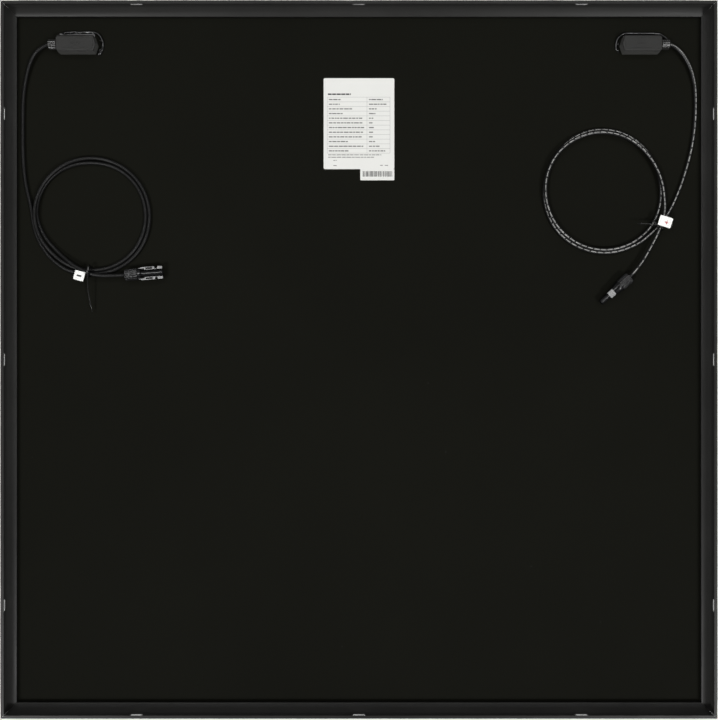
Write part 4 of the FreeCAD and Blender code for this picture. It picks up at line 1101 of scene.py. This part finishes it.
def build_rating_label():
    labels = settings("label")
    sticker("rating_label_film", "rating_label", labels.corner)
    low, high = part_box("rating_label")
    printed, over = high.z, high.z + 0.02 * MM
    rows = labels.rows
    left, right = low.x + 5.4 * MM, high.x - 6.6 * MM
    divider = low.x + 66.2 * MM
    top, pitch = high.y - 29 * MM, 7.13 * MM
    thin = 0.5 * MM
    rules = [(left, top - pitch * row - thin / 2, right - left, thin) for row in range(rows + 1)]
    bottom = top - pitch * rows
    rules += [(x - thin / 2, bottom, thin, top - bottom) for x in (left, divider, right)]
    flat_bars("label_table_rules", rules, printed, over, "print_rule")
    rng = random.Random(5)
    names = (17.8, 16.7, 35.5, 21.1, 51, 53.3, 53.9, 52.2, 52.2, 28.9, 53.3, 31.1)
    values = (21.1, 26.7, 12.2, 10, 6.7, 7.2, 8.3, 8.3, 7.8, 11.7, 17.8, 25)
    text = []
    for row in range(rows):
        y = top - pitch * (row + 0.5) - 0.95 * MM
        text += words(rng, left + 2.6 * MM, y, names[row % len(names)] * MM, 1.7 * MM)
        text += words(rng, divider + 3 * MM, y, values[row % len(values)] * MM, 1.7 * MM)
    for length, level in ((81, 3.2), (70, 6.8)):
        text += words(rng, left + 1.6 * MM, bottom - level * MM, length * MM, 1.2 * MM)
    for x, level in ((9.5, 11.6), (9.5, 19.6), (81, 19.2), (88, 19.2)):
        text += words(rng, left + x * MM, bottom - level * MM, 5 * MM, 1.1 * MM)
    flat_bars("label_table_text", text, printed, over + 0.01 * MM, "print_grey")
    heading = words(rng, left + 1.2 * MM, top + 3.4 * MM, 35 * MM, 2.2 * MM)
    flat_bars("label_heading", heading, printed, over, "print_dark")


def build_code_label():
    sticker("code_label_film", "code_label", 0.6 * MM)
    low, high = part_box("code_label")
    rng = random.Random(8)
    bars = []
    x, end = low.x + 3.6 * MM, high.x - 3 * MM
    while x < end:
        width = rng.choice((0.35, 0.35, 0.7, 1.05)) * MM
        bars.append((x, low.y + 5.6 * MM, width, 8.4 * MM))
        x += width + rng.choice((0.35, 0.7, 0.7, 1.1)) * MM
    flat_bars("code_label_bars", bars, high.z, high.z + 0.02 * MM, "print_dark")


# ---------------------------------------------------------------- operators
class SOLAR_PANEL_OT_stage(bpy.types.Operator):
    """Put up the camera, lamps, room and floor"""
    bl_idname = "solar_panel.build_stage"
    bl_label = "Stage"

    def execute(self, context):
        context.scene.view_settings.view_transform = "Standard"
        build_camera()
        build_lamps()
        build_room()
        build_floor()
        return {"FINISHED"}


class SOLAR_PANEL_OT_finishes(bpy.types.Operator):
    """Make the finishes and put them on every CAD node"""
    bl_idname = "solar_panel.build_finishes"
    bl_label = "Finishes"

    def execute(self, context):
        GROUPS.update(build_groups())
        build_finishes()
        dress_nodes()
        return {"FINISHED"}


class SOLAR_PANEL_OT_frame(bpy.types.Operator):
    """Build the four anodised rails"""
    bl_idname = "solar_panel.build_frame"
    bl_label = "Frame rails"

    def execute(self, context):
        build_rails()
        return {"FINISHED"}


class SOLAR_PANEL_OT_cell_wires(bpy.types.Operator):
    """Build the wires over the cells"""
    bl_idname = "solar_panel.build_cell_wires"
    bl_label = "Cell wires"

    def execute(self, context):
        build_cell_wires()
        return {"FINISHED"}


class SOLAR_PANEL_OT_boxes(bpy.types.Operator):
    """Build the junction boxes, their lids and glands"""
    bl_idname = "solar_panel.build_boxes"
    bl_label = "Junction boxes"

    def execute(self, context):
        for side in LEADS:
            build_box(side)
            build_gland(side)
        return {"FINISHED"}


class SOLAR_PANEL_OT_silicone(bpy.types.Operator):
    """Lay the silicone round the junction boxes"""
    bl_idname = "solar_panel.build_silicone"
    bl_label = "Silicone beads"

    def execute(self, context):
        for side in LEADS:
            build_bead(side)
        return {"FINISHED"}


class SOLAR_PANEL_OT_leads(bpy.types.Operator):
    """Build the coiled leads with their ties, tags and connectors"""
    bl_idname = "solar_panel.build_leads"
    bl_label = "Leads"

    def execute(self, context):
        for side in LEADS:
            build_lead(side)
        return {"FINISHED"}


class SOLAR_PANEL_OT_labels(bpy.types.Operator):
    """Build the rating label and the code label"""
    bl_idname = "solar_panel.build_labels"
    bl_label = "Labels"

    def execute(self, context):
        build_rating_label()
        build_code_label()
        return {"FINISHED"}


STEPS = (SOLAR_PANEL_OT_finishes, SOLAR_PANEL_OT_stage, SOLAR_PANEL_OT_leads, SOLAR_PANEL_OT_frame,
         SOLAR_PANEL_OT_cell_wires, SOLAR_PANEL_OT_boxes, SOLAR_PANEL_OT_silicone,
         SOLAR_PANEL_OT_labels)
SETTINGS = {"stage": StageSettings, "frame": FrameSettings, "box": BoxSettings, "lead": LeadSettings,
            "label": LabelSettings}


class SOLAR_PANEL_PT_pieces(bpy.types.Panel):
    """Lists the pieces' operators and their settings"""
    bl_label = "Solar panel"
    bl_idname = "SOLAR_PANEL_PT_pieces"
    bl_space_type = "VIEW_3D"
    bl_region_type = "UI"
    bl_category = "Solar panel"

    def draw(self, context):
        for step in STEPS:
            self.layout.operator(step.bl_idname)
        for name, group in SETTINGS.items():
            column = self.layout.column(heading=name.capitalize())
            for field in group.__annotations__:
                column.prop(settings(name), field)


CLASSES = (*SETTINGS.values(), *STEPS, SOLAR_PANEL_PT_pieces)


def register():
    for item in CLASSES:
        bpy.utils.register_class(item)
    for name, group in SETTINGS.items():
        setattr(bpy.types.Scene, "solar_panel_" + name, PointerProperty(type=group))


def unregister():
    for name in SETTINGS:
        delattr(bpy.types.Scene, "solar_panel_" + name)
    for item in reversed(CLASSES):
        bpy.utils.unregister_class(item)


def main():
    register()
    for step in STEPS:
        category, action = step.bl_idname.split(".")
        getattr(getattr(bpy.ops, category), action)()
    deselect()
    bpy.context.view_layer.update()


if __name__ == "__main__":
    main()
